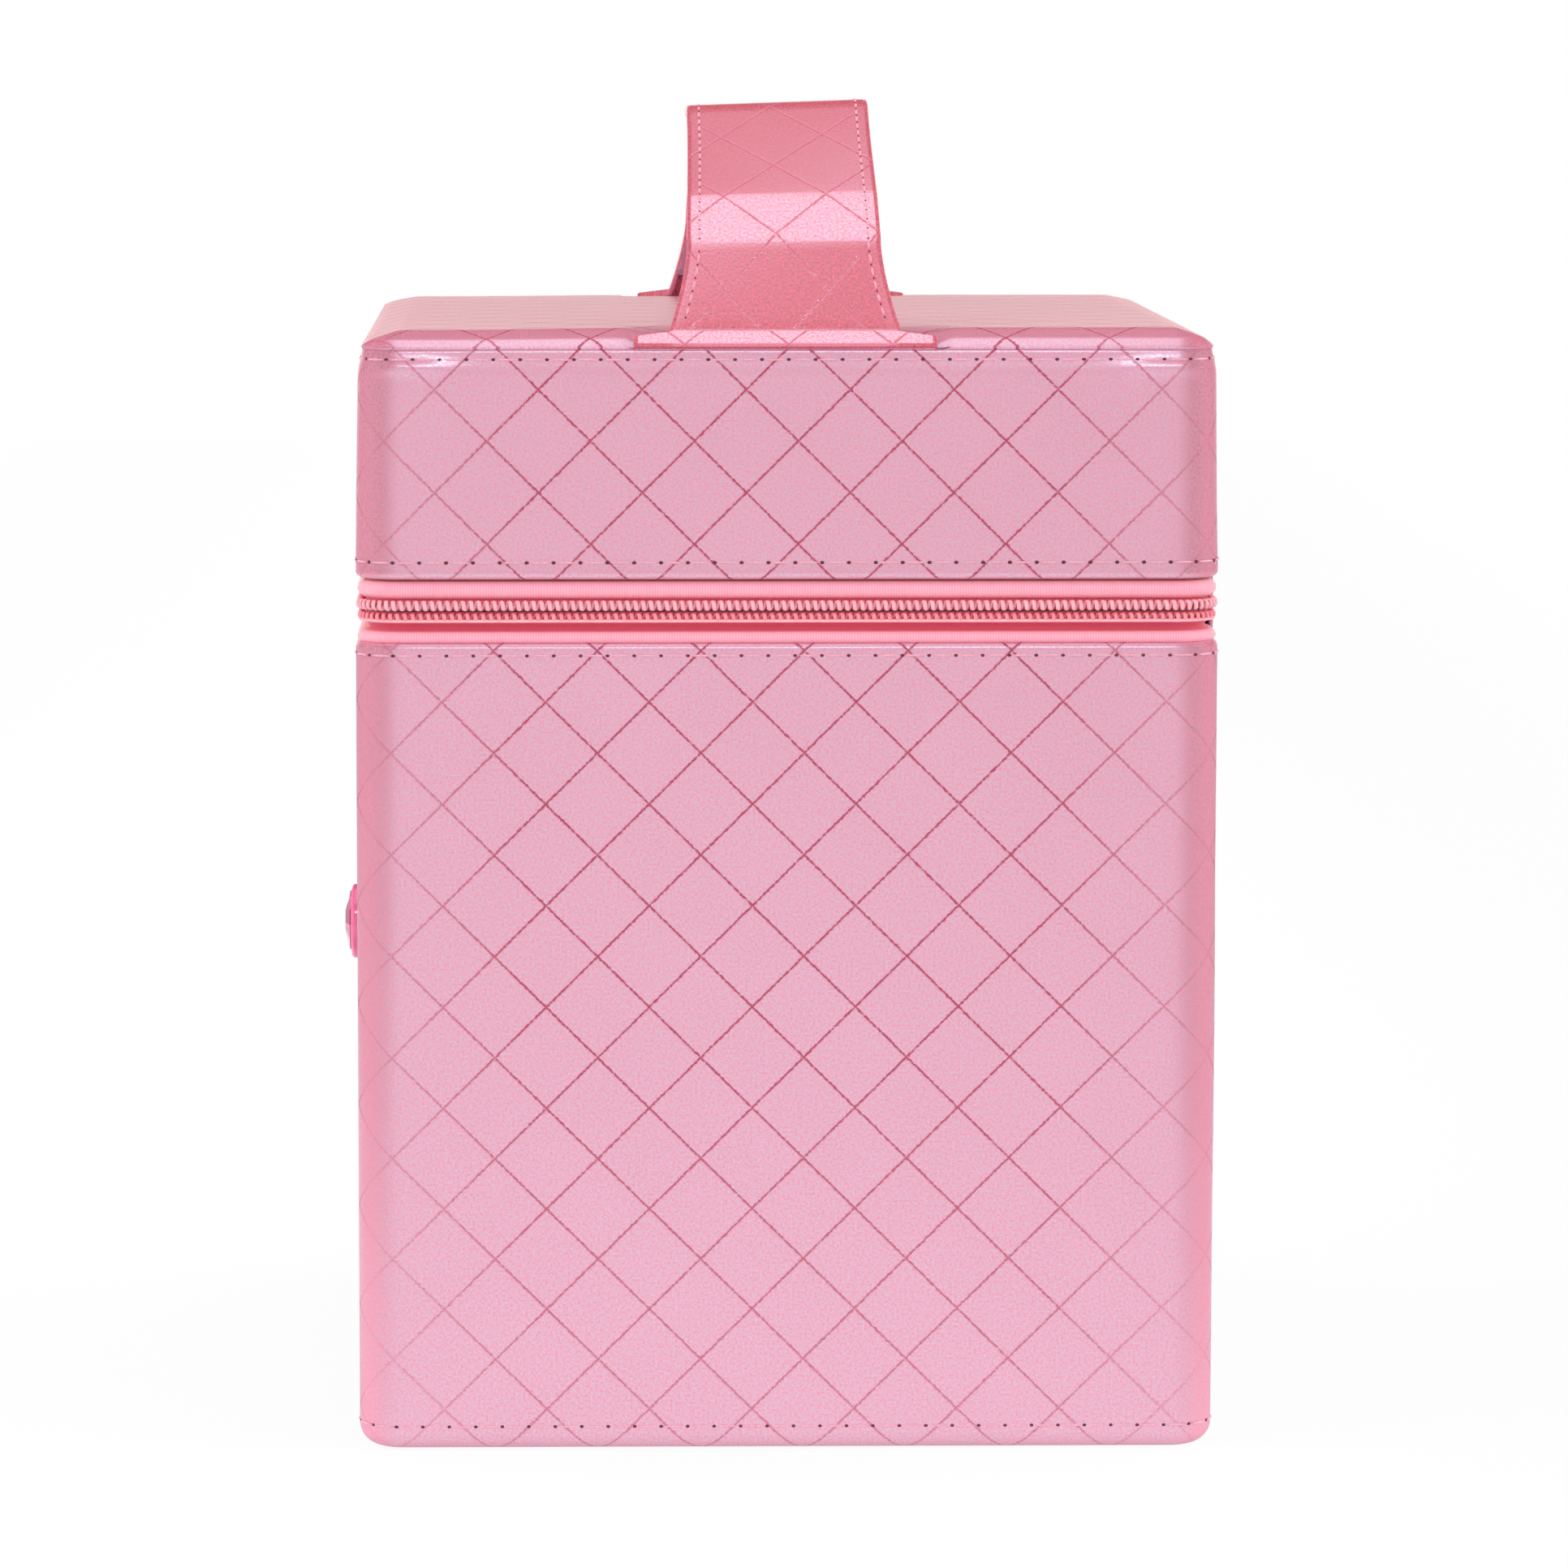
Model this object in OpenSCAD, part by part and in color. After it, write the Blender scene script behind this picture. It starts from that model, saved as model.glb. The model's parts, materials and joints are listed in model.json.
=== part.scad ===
// Makeup storage case with a carrying strap.
// A zipped lid with a mirror closes a shallow tray, and one deep drawer runs in the
// front of the body below it. Millimetres. The base rests on z = 0 with the origin at
// its centre, the drawer faces -Y, the lid is hinged along the back at +Y, and the
// strap spans the lid from its +X edge to its -X edge.

/* [Case] */
// Length of the case along the strap
case_l = 200; // [185:1:230]
// Depth of the case from the drawer side to the hinge side
case_d = 172; // [160:1:200]
// Height of the body below the zip
body_h = 163; // [150:1:190]
// Height of the zip band between the body and the lid
zip_band = 12.6; // [12:0.2:15]
// Height of the lid above the zip band, without its padded crown
lid_h = 46.5; // [40:0.5:60]
// Radius of the upright corners
corner_r = 9; // [8:0.5:12]
// Radius of the bottom edge of the body
base_edge_r = 6; // [4:0.5:7]
// Radius of the top edge of the lid
lid_edge_r = 4.5; // [3.5:0.5:6]
// Rise of the padded crown in the middle of the lid
crown_rise = 1.6; // [1:0.2:2.4]

/* [Walls] */
// Thickness of the padded leathercloth cover
cover_t = 1; // [0.8:0.1:1.3]
// Thickness of the greyboard walls and shelves
board_t = 2.5; // [2:0.1:3]
// Thickness of the lining cloth
lining_t = 0.6; // [0.4:0.1:0.8]
// Width of the cover hem turned under the base
base_hem = 16; // [12:1:20]
// Drop of the lid's edge seam below the lid top
seam_drop = 1.4; // [1.2:0.1:2.4]

/* [Drawer] */
// Width of the drawer opening
open_w = 172; // [150:1:178]
// Height of the drawer opening's lower edge
open_z0 = 9; // [8:0.5:12]
// Height of the drawer opening
open_h = 133; // [110:1:138]
// Gap round the drawer front
front_gap = 1; // [0.6:0.1:1.4]
// Setback of the drawer front behind the face of the case
front_setback = 0.5; // [0.3:0.1:1]
// Thickness of the drawer front board
front_t = 4; // [3.5:0.5:5]
// Thickness of the drawer's sides, back and bottom
side_t = 2; // [1.6:0.1:2.5]
// Height of the drawer sides above the drawer's underside
side_h = 112; // [90:1:120]
// Sliding clearance under and beside the drawer
slide_gap = 0.3; // [0.2:0.05:0.5]
// Width of the two runner strips
runner_w = 12; // [8:1:16]
// Travel of the drawer
drawer_travel = 105; // [80:1:115]
// Width of the stop tab on the drawer back
stop_tab_w = 60; // [40:1:80]

/* [Knob] */
// Height of the knob above the base
knob_z = 94; // [70:1:110]
// Diameter of the knob's bezel
knob_d = 16; // [12:0.5:20]
// Height of the bezel
knob_h = 3; // [2.4:0.1:4]
// Diameter of the knob's neck
neck_d = 9; // [7:0.5:10]
// Height of the neck
neck_h = 1.5; // [1:0.1:2.5]
// Diameter of the faceted stone in the knob
stone_d = 13; // [9:0.5:14]
// Height of the stone above the bezel
stone_h = 1.3; // [1:0.1:2]
// Diameter of the knob screw
screw_d = 3; // [2.5:0.5:4]

/* [Tray] */
// Height of the tray rim above the top of the body
rim_rise = 9; // [6:0.5:10]
// Thickness of the tray walls and floor
tray_t = 1.6; // [1.2:0.1:2]
// Gap between the tray and the case walls
tray_gap = 0.5; // [0.4:0.1:1]
// Height of the tray dividers
divider_h = 17; // [12:1:18]
// Thickness of the dividers
divider_t = 2; // [1.5:0.1:2.5]

/* [Zip] */
// Height of one row of zip teeth
row_h = 2; // [1.6:0.1:2.2]
// Thickness of the tooth rows
row_t = 1.5; // [1.2:0.1:1.8]
// Distance from one tooth to the next
tooth_pitch = 1.55; // [1.4:0.05:2]
// Width of a tooth along the row
tooth_w = 1; // [0.8:0.05:1.1]
// Depth of the slots between the teeth
slot_depth = 0.5; // [0.3:0.05:0.7]
// Thickness of the zip tape
tape_t = 0.6; // [0.4:0.1:0.8]
// Thickness of the slider's wedge between the two rows
wedge_t = 1.8; // [1.4:0.1:2]
// Clearance round the tooth rows in the slider
zip_gap = 0.3; // [0.25:0.05:0.4]
// Length of the slider
slider_l = 10.4; // [9:0.2:12]
// Distance of the parked slider behind the middle of the case
park_y = 57; // [50:1:60]
// Length of the pull tab
pull_l = 25; // [18:1:26]
// Width of the pull tab
pull_w = 8; // [6.5:0.5:9]

/* [Mirror] */
// Length of the mirror
mirror_l = 140; // [100:1:150]
// Width of the mirror
mirror_w = 102; // [80:1:115]
// Thickness of the mirror glass
mirror_t = 2; // [1.5:0.1:2.5]
// Width of the mirror's frame
mirror_rim = 6; // [4:0.5:8]

/* [Handle] */
// Height of the strap's crest above the lid edge
strap_rise = 46.5; // [42:0.5:60]
// Width of the strap
strap_w = 38.5; // [32:0.5:45]
// Width gained by the strap where it flares to its foot
strap_flare = 7.6; // [4:0.2:12]
// Width of the strap's foot sewn into the lid seam
foot_w = 60; // [50:1:70]
// Thickness of the strap's leathercloth layers
strap_skin_t = 1; // [0.8:0.1:1.2]
// Thickness of the webbing inside the strap
strap_core_t = 1.2; // [1:0.1:2]

/* [Hidden] */
$fn = 64;
slack = 0.01;              // overshoot that keeps cuts clean
lid_z0 = body_h + zip_band;
lid_top = lid_z0 + lid_h;
zip_z = body_h + zip_band / 2;
row_z = wedge_t / 2 + zip_gap;      // from the zip's centre line to each row of teeth
wall_in = cover_t + board_t;        // inset of the greyboard's inner face
lining_in = wall_in + lining_t;
tape_in = row_t;                    // the tape lies behind the teeth
shelf_top = open_z0 + open_h + 2 * board_t + 0.4;
shelf_z0 = shelf_top - board_t;
floor_top = wall_in;                // top of the base board
front_y = -case_d / 2 + front_setback;
front_board_y = front_y + cover_t;
box_y0 = front_board_y + front_t;   // where the drawer box meets its front
box_y1 = case_d / 2 - wall_in - 2 * slide_gap;
box_w = open_w - 2 * front_gap;
runner_top = open_z0 + slide_gap;
box_z0 = runner_top + slide_gap;
front_rail = 4;                     // front board left standing beside the opening
stop_y = box_y1 - side_t - drawer_travel - slide_gap;   // rear face of the stop batten
stop_depth = 6;
batten_z0 = open_z0 + open_h;
tray_in = wall_in + tray_gap;
tray_top = body_h + rim_rise;
divider_y = 18;                     // place of the long tray divider
divider_x = 34;                     // places of the two cross dividers, either side
bin_y = 6;                          // place of the drawer's long divider
pad_t = lid_edge_r - cover_t;       // padding as thick as the inner edge radius
lid_board_z0 = lid_top - cover_t - pad_t - board_t;
ceiling_z = lid_board_z0 - lining_t;
crown_run = 24;                     // distance over which the crown rises
tape_tail = 8;                      // tape beyond the rear corners
tape_end_x = case_l / 2 - corner_r - tape_tail;
hinge_slit = 0.3;                   // half the slit between the two hinge strips
slider_out = zip_gap + 0.05;        // underside of the slider's outer plate
plate_t = 1.2;
inner_plate_t = 1;
slider_h = 2 * (row_z + row_h + zip_gap + 0.8);
pull_bar_d = 1.1;
pull_t = 1.1;
pull_axis_x = -case_l / 2 - slider_out - plate_t - zip_gap - pull_bar_d / 2;
fold_z = lid_top + 1.4;             // the foot ends here and the leg of the strap starts
flare_z = fold_z + 17;              // the flare ends here
seat = 0.1;                         // gap between the strap's foot and the lid edge
foot_end_a = 62;                    // how far up the lid edge the foot reaches, in degrees
kink_in = [15, 26, 62];             // how far inside the near end the strap's kinks are

pink = "#E8A5B9";
deep_pink = "#E0798F";
pale_pink = "#F9C6DA";
board_grey = "#B9AFA6";
velvet = "#F3DDE3";

// ---- plane shapes and blocks that several parts share ----

// A rectangle with round corners, centred on the origin.
module round_rect(l, w, r) {
    square([l - 2 * r, w], center = true);
    square([l, w - 2 * r], center = true);
    for (x = [-1, 1], y = [-1, 1])
        translate([x * (l / 2 - r), y * (w / 2 - r)])
            circle(r);
}

// The case's outline in plan, moved inwards.
module plan(inset) {
    round_rect(case_l - 2 * inset, case_d - 2 * inset, corner_r - inset);
}

// A slab of the case's plan between two heights.
module plan_slab(inset, z0, z1) {
    translate([0, 0, z0])
        linear_extrude(z1 - z0)
            plan(inset);
}

// A band that follows the walls in plan, between two insets and two heights.
module wall_band(inset_out, inset_in, z0, z1) {
    difference() {
        plan_slab(inset_out, z0, z1);
        plan_slab(inset_in, z0 - 1, z1 + 1);
    }
}

// A cuboid given by its two corners.
module block(a, b) {
    translate(a)
        cube(b - a);
}

// An upright rectangle on y = 0 whose bottom corners are round.
module round_foot(w, h, r) {
    translate([-w / 2, r])
        square([w, h - r]);
    translate([-w / 2 + r, 0])
        square([w - 2 * r, h]);
    for (x = [-1, 1])
        translate([x * (w / 2 - r), r])
            circle(r);
}

// A block with round upright corners and a round bottom edge, standing on z = 0.
module soft_block(l, w, h, r, edge_r) {
    intersection() {
        linear_extrude(h)
            round_rect(l, w, r);
        rotate([90, 0, 90])
            translate([0, 0, -l])
                linear_extrude(2 * l)
                    round_foot(w, h, edge_r);
        rotate([90, 0, 0])
            translate([0, 0, -w])
                linear_extrude(2 * w)
                    round_foot(l, h, edge_r);
    }
}

// The body's outer form, moved inwards and upwards; it reaches a little above the body.
module body_form(inset, above = 0) {
    translate([0, 0, inset])
        soft_block(case_l - 2 * inset, case_d - 2 * inset, body_h - inset + above,
                   corner_r - inset, base_edge_r - inset);
}

// The lid's outer form, moved inwards and downwards, without the crown.
module lid_form(inset, below = 0) {
    translate([0, 0, lid_top - inset])
        mirror([0, 0, 1])
            soft_block(case_l - 2 * inset, case_d - 2 * inset, lid_h - inset + below,
                       corner_r - inset, lid_edge_r - inset);
}

// The low pillow that rises from the flat of the lid top.
module crown(z0) {
    run = lid_edge_r + 1;
    hull() {
        translate([0, 0, z0 - 0.2])
            linear_extrude(0.2)
                round_rect(case_l - 2 * run, case_d - 2 * run, corner_r - 2, $fn = 32);
        translate([0, 0, z0 + crown_rise - 0.2])
            linear_extrude(0.2)
                round_rect(case_l - 2 * crown_run, case_d - 2 * crown_run, corner_r, $fn = 32);
    }
}

// ---- body ----

// Sewn leathercloth skin of the four walls, turned under the base as a hem.
module body_cover() {
    color(pink)
        difference() {
            body_form(0);
            body_form(cover_t, 1);
            drawer_opening(-case_d / 2 - 1, -case_d / 2 + cover_t + 1);
            base_panel(base_hem, -1, cover_t + 1);
        }
}

// Leathercloth panel that fills the hem's opening under the base.
module base_cover() {
    color(pink)
        base_panel(base_hem + 0.2, 0, cover_t);
}

// A slab with small round corners, set in from the edge of the base.
module base_panel(inset, z0, z1) {
    translate([0, 0, z0])
        linear_extrude(z1 - z0)
            round_rect(case_l - 2 * inset, case_d - 2 * inset, 4);
}

// The drawer opening between two places across the front wall.
module drawer_opening(y0, y1) {
    block([-open_w / 2, y0, open_z0], [open_w / 2, y1, open_z0 + open_h]);
}

// Where the flat front panel sits between the bent walls; it is wider than the opening.
module front_panel_zone() {
    x1 = open_w / 2 + front_rail;
    block([-x1, -case_d / 2, floor_top], [x1, -case_d / 2 + wall_in, body_h]);
}

// Bent greyboard of both ends, the back and all four corners.
module wall_board() {
    color(board_grey)
        difference() {
            intersection() {
                body_form(cover_t);
                block([-case_l, -case_d, floor_top], [case_l, case_d, body_h]);
            }
            plan_slab(wall_in, 0, body_h + 1);
            front_panel_zone();
        }
}

// Flat greyboard front with the drawer opening.
module front_board() {
    color(board_grey)
        difference() {
            intersection() {
                body_form(cover_t);
                front_panel_zone();
            }
            drawer_opening(-case_d, 0);
        }
}

module base_board() {
    color(board_grey)
        intersection() {
            body_form(cover_t);
            block([-case_l, -case_d, cover_t], [case_l, case_d, floor_top]);
        }
}

// One side wall of the drawer bay; it carries the shelf.
module bay_side(side) {
    y1 = case_d / 2 - wall_in;
    x0 = side * (open_w / 2 + board_t / 2);
    color(board_grey)
        block([x0 - board_t / 2, -y1, floor_top], [x0 + board_t / 2, y1, shelf_z0]);
}

module shelf_board() {
    color(board_grey)
        plan_slab(wall_in, shelf_z0, shelf_top);
}

// One hardwood strip on which the drawer slides.
module runner(side) {
    y1 = case_d / 2 - wall_in;
    x0 = side * (open_w - runner_w) / 2;
    color("#D8B98F")
        block([x0 - runner_w / 2, -y1, floor_top], [x0 + runner_w / 2, y1, runner_top]);
}

// Batten under the shelf that catches the tab of the drawer back.
module drawer_stop() {
    color("#D8B98F")
        block([-stop_tab_w / 2, stop_y - stop_depth, batten_z0 + 0.4],
              [stop_tab_w / 2, stop_y, shelf_z0]);
}

// Velvet-covered tray on the shelf; its rim stands up behind the zip.
module tray() {
    color(velvet)
        difference() {
            plan_slab(tray_in, shelf_top, tray_top);
            plan_slab(tray_in + tray_t, shelf_top + tray_t, tray_top + 1);
        }
}

module tray_divider_long() {
    x1 = case_l / 2 - tray_in - tray_t;
    z0 = shelf_top + tray_t;
    color(velvet)
        block([-x1, divider_y, z0], [x1, divider_y + divider_t, z0 + divider_h]);
}

// Two short dividers between the long one and the back of the tray.
module tray_divider_cross() {
    y1 = case_d / 2 - tray_in - tray_t;
    z0 = shelf_top + tray_t;
    color(velvet)
        for (side = [-1, 1])
            translate([side * divider_x, 0, 0])
                block([-divider_t / 2, divider_y + divider_t, z0],
                      [divider_t / 2, y1, z0 + divider_h]);
}

// ---- zip and hinge ----

// Half the length of the zip's run, from the middle of the front to the end on the back.
flat_l = case_l / 2 - corner_r;
flat_d = case_d - 2 * corner_r;
quarter = corner_r * PI / 2;
half_run = flat_l + 2 * quarter + flat_d + tape_tail;

// A point on the zip's path: s is its distance from the middle of the front along the
// case's outline, positive towards the +X end, and inset moves it inwards.
function path_point(s, inset) =
    let (m = abs(s), side = sign(s), r = corner_r - inset, rest = m - flat_l - quarter - flat_d)
        m <= flat_l ? [s, -case_d / 2 + inset]
        : m <= flat_l + quarter ?
            let (a = (m - flat_l) / quarter * 90)
                [side * (flat_l + r * sin(a)), -flat_d / 2 - r * cos(a)]
        : m <= flat_l + quarter + flat_d ?
            [side * (case_l / 2 - inset), m - flat_l - quarter - flat_d / 2]
        : rest <= quarter ?
            let (a = rest / quarter * 90)
                [side * (flat_l + r * cos(a)), flat_d / 2 + r * sin(a)]
        : [side * (flat_l - (rest - quarter)), case_d / 2 - inset];

// A row of teeth between two places on the path: a band of the zip with slots cut back
// between the teeth. shift moves the row by part of a pitch.
module tooth_row(s0, s1, shift, z0) {
    teeth = [
        for (i = [ceil(s0 / tooth_pitch) + 1:floor(s1 / tooth_pitch) - 1])
            (i + shift) * tooth_pitch
    ];
    comb = [
        for (s = teeth)
            for (q = [[-1, slot_depth], [-1, -1], [1, -1], [1, slot_depth]])
                path_point(s + q[0] * tooth_w / 2, q[1])
    ];
    back = [for (i = [len(teeth) - 1:-1:0]) path_point(teeth[i], row_t + 1)];
    intersection() {
        zip_band_piece(0, row_t, z0, z0 + row_h);
        translate([0, 0, z0 - 1])
            linear_extrude(row_h + 2)
                polygon(concat([path_point(s0, slot_depth)], comb,
                               [path_point(s1, slot_depth), path_point(s1, row_t + 1)],
                               back, [path_point(s0, row_t + 1)]));
    }
}

// A band of the zip path: it runs round the front and both ends and ends on the back.
module zip_band_piece(inset_out, inset_in, z0, z1) {
    difference() {
        wall_band(inset_out, inset_in, z0, z1);
        block([-tape_end_x, 0, z0 - 1], [tape_end_x, case_d, z1 + 1]);
    }
}

module zip_tape_lower() {
    color(deep_pink)
        zip_band_piece(tape_in, tape_in + tape_t, body_h, zip_z - row_z);
}

module zip_tape_upper() {
    color(deep_pink)
        zip_band_piece(tape_in, tape_in + tape_t, zip_z + row_z, lid_z0);
}

module zip_teeth_lower() {
    color(pale_pink)
        tooth_row(-half_run - 1, half_run + 1, 0, zip_z - row_z - row_h);
}

// The upper teeth stand half a pitch further and end in front of the parked slider.
module zip_teeth_upper() {
    slider_end = park_y - slider_l / 2 - 2 * zip_gap;
    color(pale_pink)
        tooth_row(-(flat_l + quarter + flat_d / 2 + slider_end), half_run + 1, 0.5,
                  zip_z + row_z);
}

// Metal clip on a tape edge that ends the slider's run.
module zip_stop(z0) {
    y0 = park_y + slider_l / 2 + 2 * zip_gap;
    block([-case_l / 2 + 0.2, y0, z0], [-case_l / 2 + row_t, y0 + 3, z0 + row_h]);
}

module zip_stop_upper() {
    color("#D9D4D6")
        zip_stop(zip_z + row_z);
}

// The lower clip folds over the teeth from outside and above.
module zip_stop_lower() {
    clip_t = 0.3;
    y0 = park_y + slider_l / 2 + 2 * zip_gap;
    z0 = zip_z - row_z;
    color("#D9D4D6") {
        block([-case_l / 2 - clip_t, y0, z0 - row_h], [-case_l / 2, y0 + 3, z0 + clip_t]);
        block([-case_l / 2 - slack, y0, z0], [-case_l / 2 + row_t, y0 + 3, z0 + clip_t]);
    }
}

module hinge_strip_lower() {
    color(pink)
        block([-tape_end_x, case_d / 2 - cover_t, body_h],
              [tape_end_x, case_d / 2, zip_z - hinge_slit]);
}

module hinge_strip_upper() {
    color(pink)
        block([-tape_end_x, case_d / 2 - cover_t, zip_z + hinge_slit],
              [tape_end_x, case_d / 2, lid_z0]);
}

// ---- lid ----

// Leathercloth band round the lid's walls, up to the edge seam.
module lid_cover() {
    color(pink)
        difference() {
            lid_form(0);
            lid_form(cover_t, 1);
            plan_slab(-1, lid_top - seam_drop, lid_top + 1);
        }
}

// Padded leathercloth top of the lid, from the edge seam inwards.
module lid_top_cover() {
    color(pink)
        difference() {
            union() {
                intersection() {
                    lid_form(0);
                    plan_slab(-1, lid_top - seam_drop, lid_top + 1);
                }
                crown(lid_top);
            }
            lid_form(cover_t, 1);
            crown(lid_top - cover_t);
        }
}

module lid_wall_board() {
    color(board_grey)
        wall_band(cover_t, wall_in, lid_z0, lid_board_z0);
}

module lid_top_board() {
    color(board_grey)
        plan_slab(cover_t, lid_board_z0, lid_board_z0 + board_t);
}

// Foam between the top board and the top cover.
module lid_padding() {
    color("#F5EFE6") {
        intersection() {
            lid_form(cover_t);
            plan_slab(0, lid_board_z0 + board_t, lid_top);
        }
        crown(lid_top - cover_t);
    }
}

// Lining cloth over the inside of the lid.
module lid_lining() {
    color(velvet)
        difference() {
            plan_slab(wall_in, lid_z0, lid_board_z0);
            plan_slab(lining_in, lid_z0 - 1, ceiling_z);
        }
}

module mirror_frame() {
    z0 = ceiling_z - mirror_t - 0.6;
    color(pink)
        difference() {
            translate([0, 0, z0])
                linear_extrude(ceiling_z - z0)
                    round_rect(mirror_l + 2 * mirror_rim, mirror_w + 2 * mirror_rim, 6);
            translate([0, 0, ceiling_z - mirror_t])
                linear_extrude(mirror_t + 1)
                    round_rect(mirror_l, mirror_w, 4);
            translate([0, 0, z0 - 1])
                linear_extrude(mirror_t + 2)
                    round_rect(mirror_l - 4, mirror_w - 4, 3);
        }
}

module mirror_glass() {
    color("#DDE6EA")
        translate([0, 0, ceiling_z - mirror_t])
            linear_extrude(mirror_t)
                round_rect(mirror_l - 0.2, mirror_w - 0.2, 3.9);
}

// ---- handle ----

function unit(v) = v / norm(v);

// Five points that round off the corner b of the line a-b-c over a distance d.
function bend(a, b, c, d) = [
    for (t = [0:0.25:1])
        (1 - t) * (1 - t) * (b + d * unit(a - b)) + 2 * t * (1 - t) * b
        + t * t * (b + d * unit(c - b))
];

// A line moved to its left by d.
function moved(p, d) = [
    for (i = [0:len(p) - 1])
        let (a = p[max(i - 1, 0)], b = p[min(i + 1, len(p) - 1)], u = unit(b - a))
            p[i] + d * [-u[1], u[0]]
];

function reversed(p) = [for (i = [len(p) - 1:-1:0]) p[i]];

function mirrored(p) = [for (q = reversed(p)) [-q[0], q[1]]];

// The strap's underside over the edge of the lid, from the seam to the fold.
edge_c = [case_l / 2 - lid_edge_r, lid_top - lid_edge_r];
seam_a = asin((lid_edge_r - seam_drop) / lid_edge_r);
foot_line = [
    for (a = [seam_a + 2:6:foot_end_a])
        edge_c + (lid_edge_r + seat) * [cos(a), sin(a)]
];
// The kinks of the strap's leg: a steep stretch, a slanted one, a flatter one, the crest.
crest = [0, lid_top + strap_rise - strap_skin_t];
kink_a = [case_l / 2 - kink_in[0], lid_top + 0.44 * strap_rise];
kink_b = [case_l / 2 - kink_in[1], lid_top + 0.6 * strap_rise];
kink_c = [case_l / 2 - kink_in[2], crest[1] - 1];
foot_end = foot_line[len(foot_line) - 1];
half_line = concat(foot_line,
                   bend(foot_end, kink_a, kink_b, 1.5),
                   bend(kink_a, kink_b, kink_c, 2),
                   bend(kink_b, kink_c, crest, 14));
strap_line = concat(half_line, [crest], mirrored(half_line));

// A layer of the strap between two distances from its underside, cut to its outline.
module strap_layer(t0, t1, outline_bottom) {
    intersection() {
        rotate([90, 0, 0])
            translate([0, 0, -foot_w])
                linear_extrude(2 * foot_w)
                    polygon(concat(moved(strap_line, -t0), reversed(moved(strap_line, -t1))));
        rotate([90, 0, 90])
            translate([0, 0, -case_l])
                linear_extrude(2 * case_l)
                    strap_outline(outline_bottom);
    }
}

// The strap seen along its length: straight, flared, and as wide as its foot at the seam.
module strap_outline(bottom) {
    flare = [
        for (i = [0:8])
            [strap_w / 2 + strap_flare / 2 * pow(i / 8, 1.5), flare_z - (flare_z - fold_z) * i / 8]
    ];
    foot = [[foot_w / 2, fold_z], [foot_w / 2, bottom]];
    side = concat([[strap_w / 2, lid_top + 2 * strap_rise]], flare, foot);
    polygon(concat(side, mirrored(side)));
}

// Outer leathercloth of the strap with its wide feet.
module handle_cover() {
    color(deep_pink)
        strap_layer(0, strap_skin_t, lid_top - lid_edge_r);
}

module handle_core() {
    color("#E9E2DA")
        difference() {
            strap_layer(-strap_core_t, 0, lid_top);
            block([-case_l, -case_d, 0], [case_l, case_d, fold_z + 2.5]);
        }
}

module handle_lining() {
    color(deep_pink)
        difference() {
            strap_layer(-strap_core_t - strap_skin_t, -strap_core_t, lid_top);
            block([-case_l, -case_d, 0], [case_l, case_d, fold_z + 2.5]);
        }
}

// ---- drawer ----

// The flat outline of the drawer front in the plane of the front.
module front_slab(y0, y1) {
    block([-box_w / 2, y0, open_z0 + front_gap],
          [box_w / 2, y1, open_z0 + open_h - front_gap]);
}

// A hole along Y through the drawer front for the knob screw.
module knob_bore(r, y0, y1) {
    translate([0, y0, knob_z])
        rotate([-90, 0, 0])
            cylinder(h = y1 - y0, r = r);
}

module drawer_front_board() {
    color(board_grey)
        difference() {
            front_slab(front_board_y, box_y0);
            knob_bore(screw_d / 2 + 0.2, front_board_y - 1, box_y0 + 1);
        }
}

module drawer_front_cover() {
    color(pink)
        difference() {
            front_slab(front_y, front_board_y);
            knob_bore(screw_d / 2 + 0.2, front_y - 1, front_board_y + 1);
        }
}

module drawer_side(side) {
    x0 = side * (box_w - side_t) / 2;
    color(board_grey)
        block([x0 - side_t / 2, box_y0, box_z0], [x0 + side_t / 2, box_y1, box_z0 + side_h]);
}

// The back of the drawer with the tab that meets the stop batten.
module drawer_back() {
    x1 = box_w / 2 - side_t;
    color(board_grey) {
        block([-x1, box_y1 - side_t, box_z0], [x1, box_y1, box_z0 + side_h]);
        block([-stop_tab_w / 2, box_y1 - side_t, box_z0 + side_h],
              [stop_tab_w / 2, box_y1, shelf_z0 - 2 * slide_gap]);
    }
}

module drawer_bottom() {
    x1 = box_w / 2 - side_t;
    color(board_grey)
        block([-x1, box_y0, box_z0], [x1, box_y1 - side_t, box_z0 + side_t]);
}

// Lining cloth inside the drawer.
module drawer_lining() {
    x1 = box_w / 2 - side_t;
    y1 = box_y1 - side_t;
    z0 = box_z0 + side_t;
    color(velvet)
        difference() {
            block([-x1, box_y0, z0], [x1, y1, box_z0 + side_h - 1]);
            block([-x1 + lining_t, box_y0 + lining_t, z0 + lining_t],
                  [x1 - lining_t, y1 - lining_t, box_z0 + side_h]);
            knob_bore(screw_d + 1.5, box_y0 - 1, box_y0 + 4);
        }
}

module drawer_divider_long() {
    x1 = box_w / 2 - side_t - lining_t;
    z0 = box_z0 + side_t + lining_t;
    color(velvet)
        block([-x1, bin_y, z0], [x1, bin_y + divider_t, z0 + 0.55 * side_h]);
}

// The short divider between the long one and the back of the drawer.
module drawer_divider_cross() {
    z0 = box_z0 + side_t + lining_t;
    color(velvet)
        block([-divider_t / 2, bin_y + divider_t, z0],
              [divider_t / 2, box_y1 - side_t - lining_t, z0 + 0.55 * side_h]);
}

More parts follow.
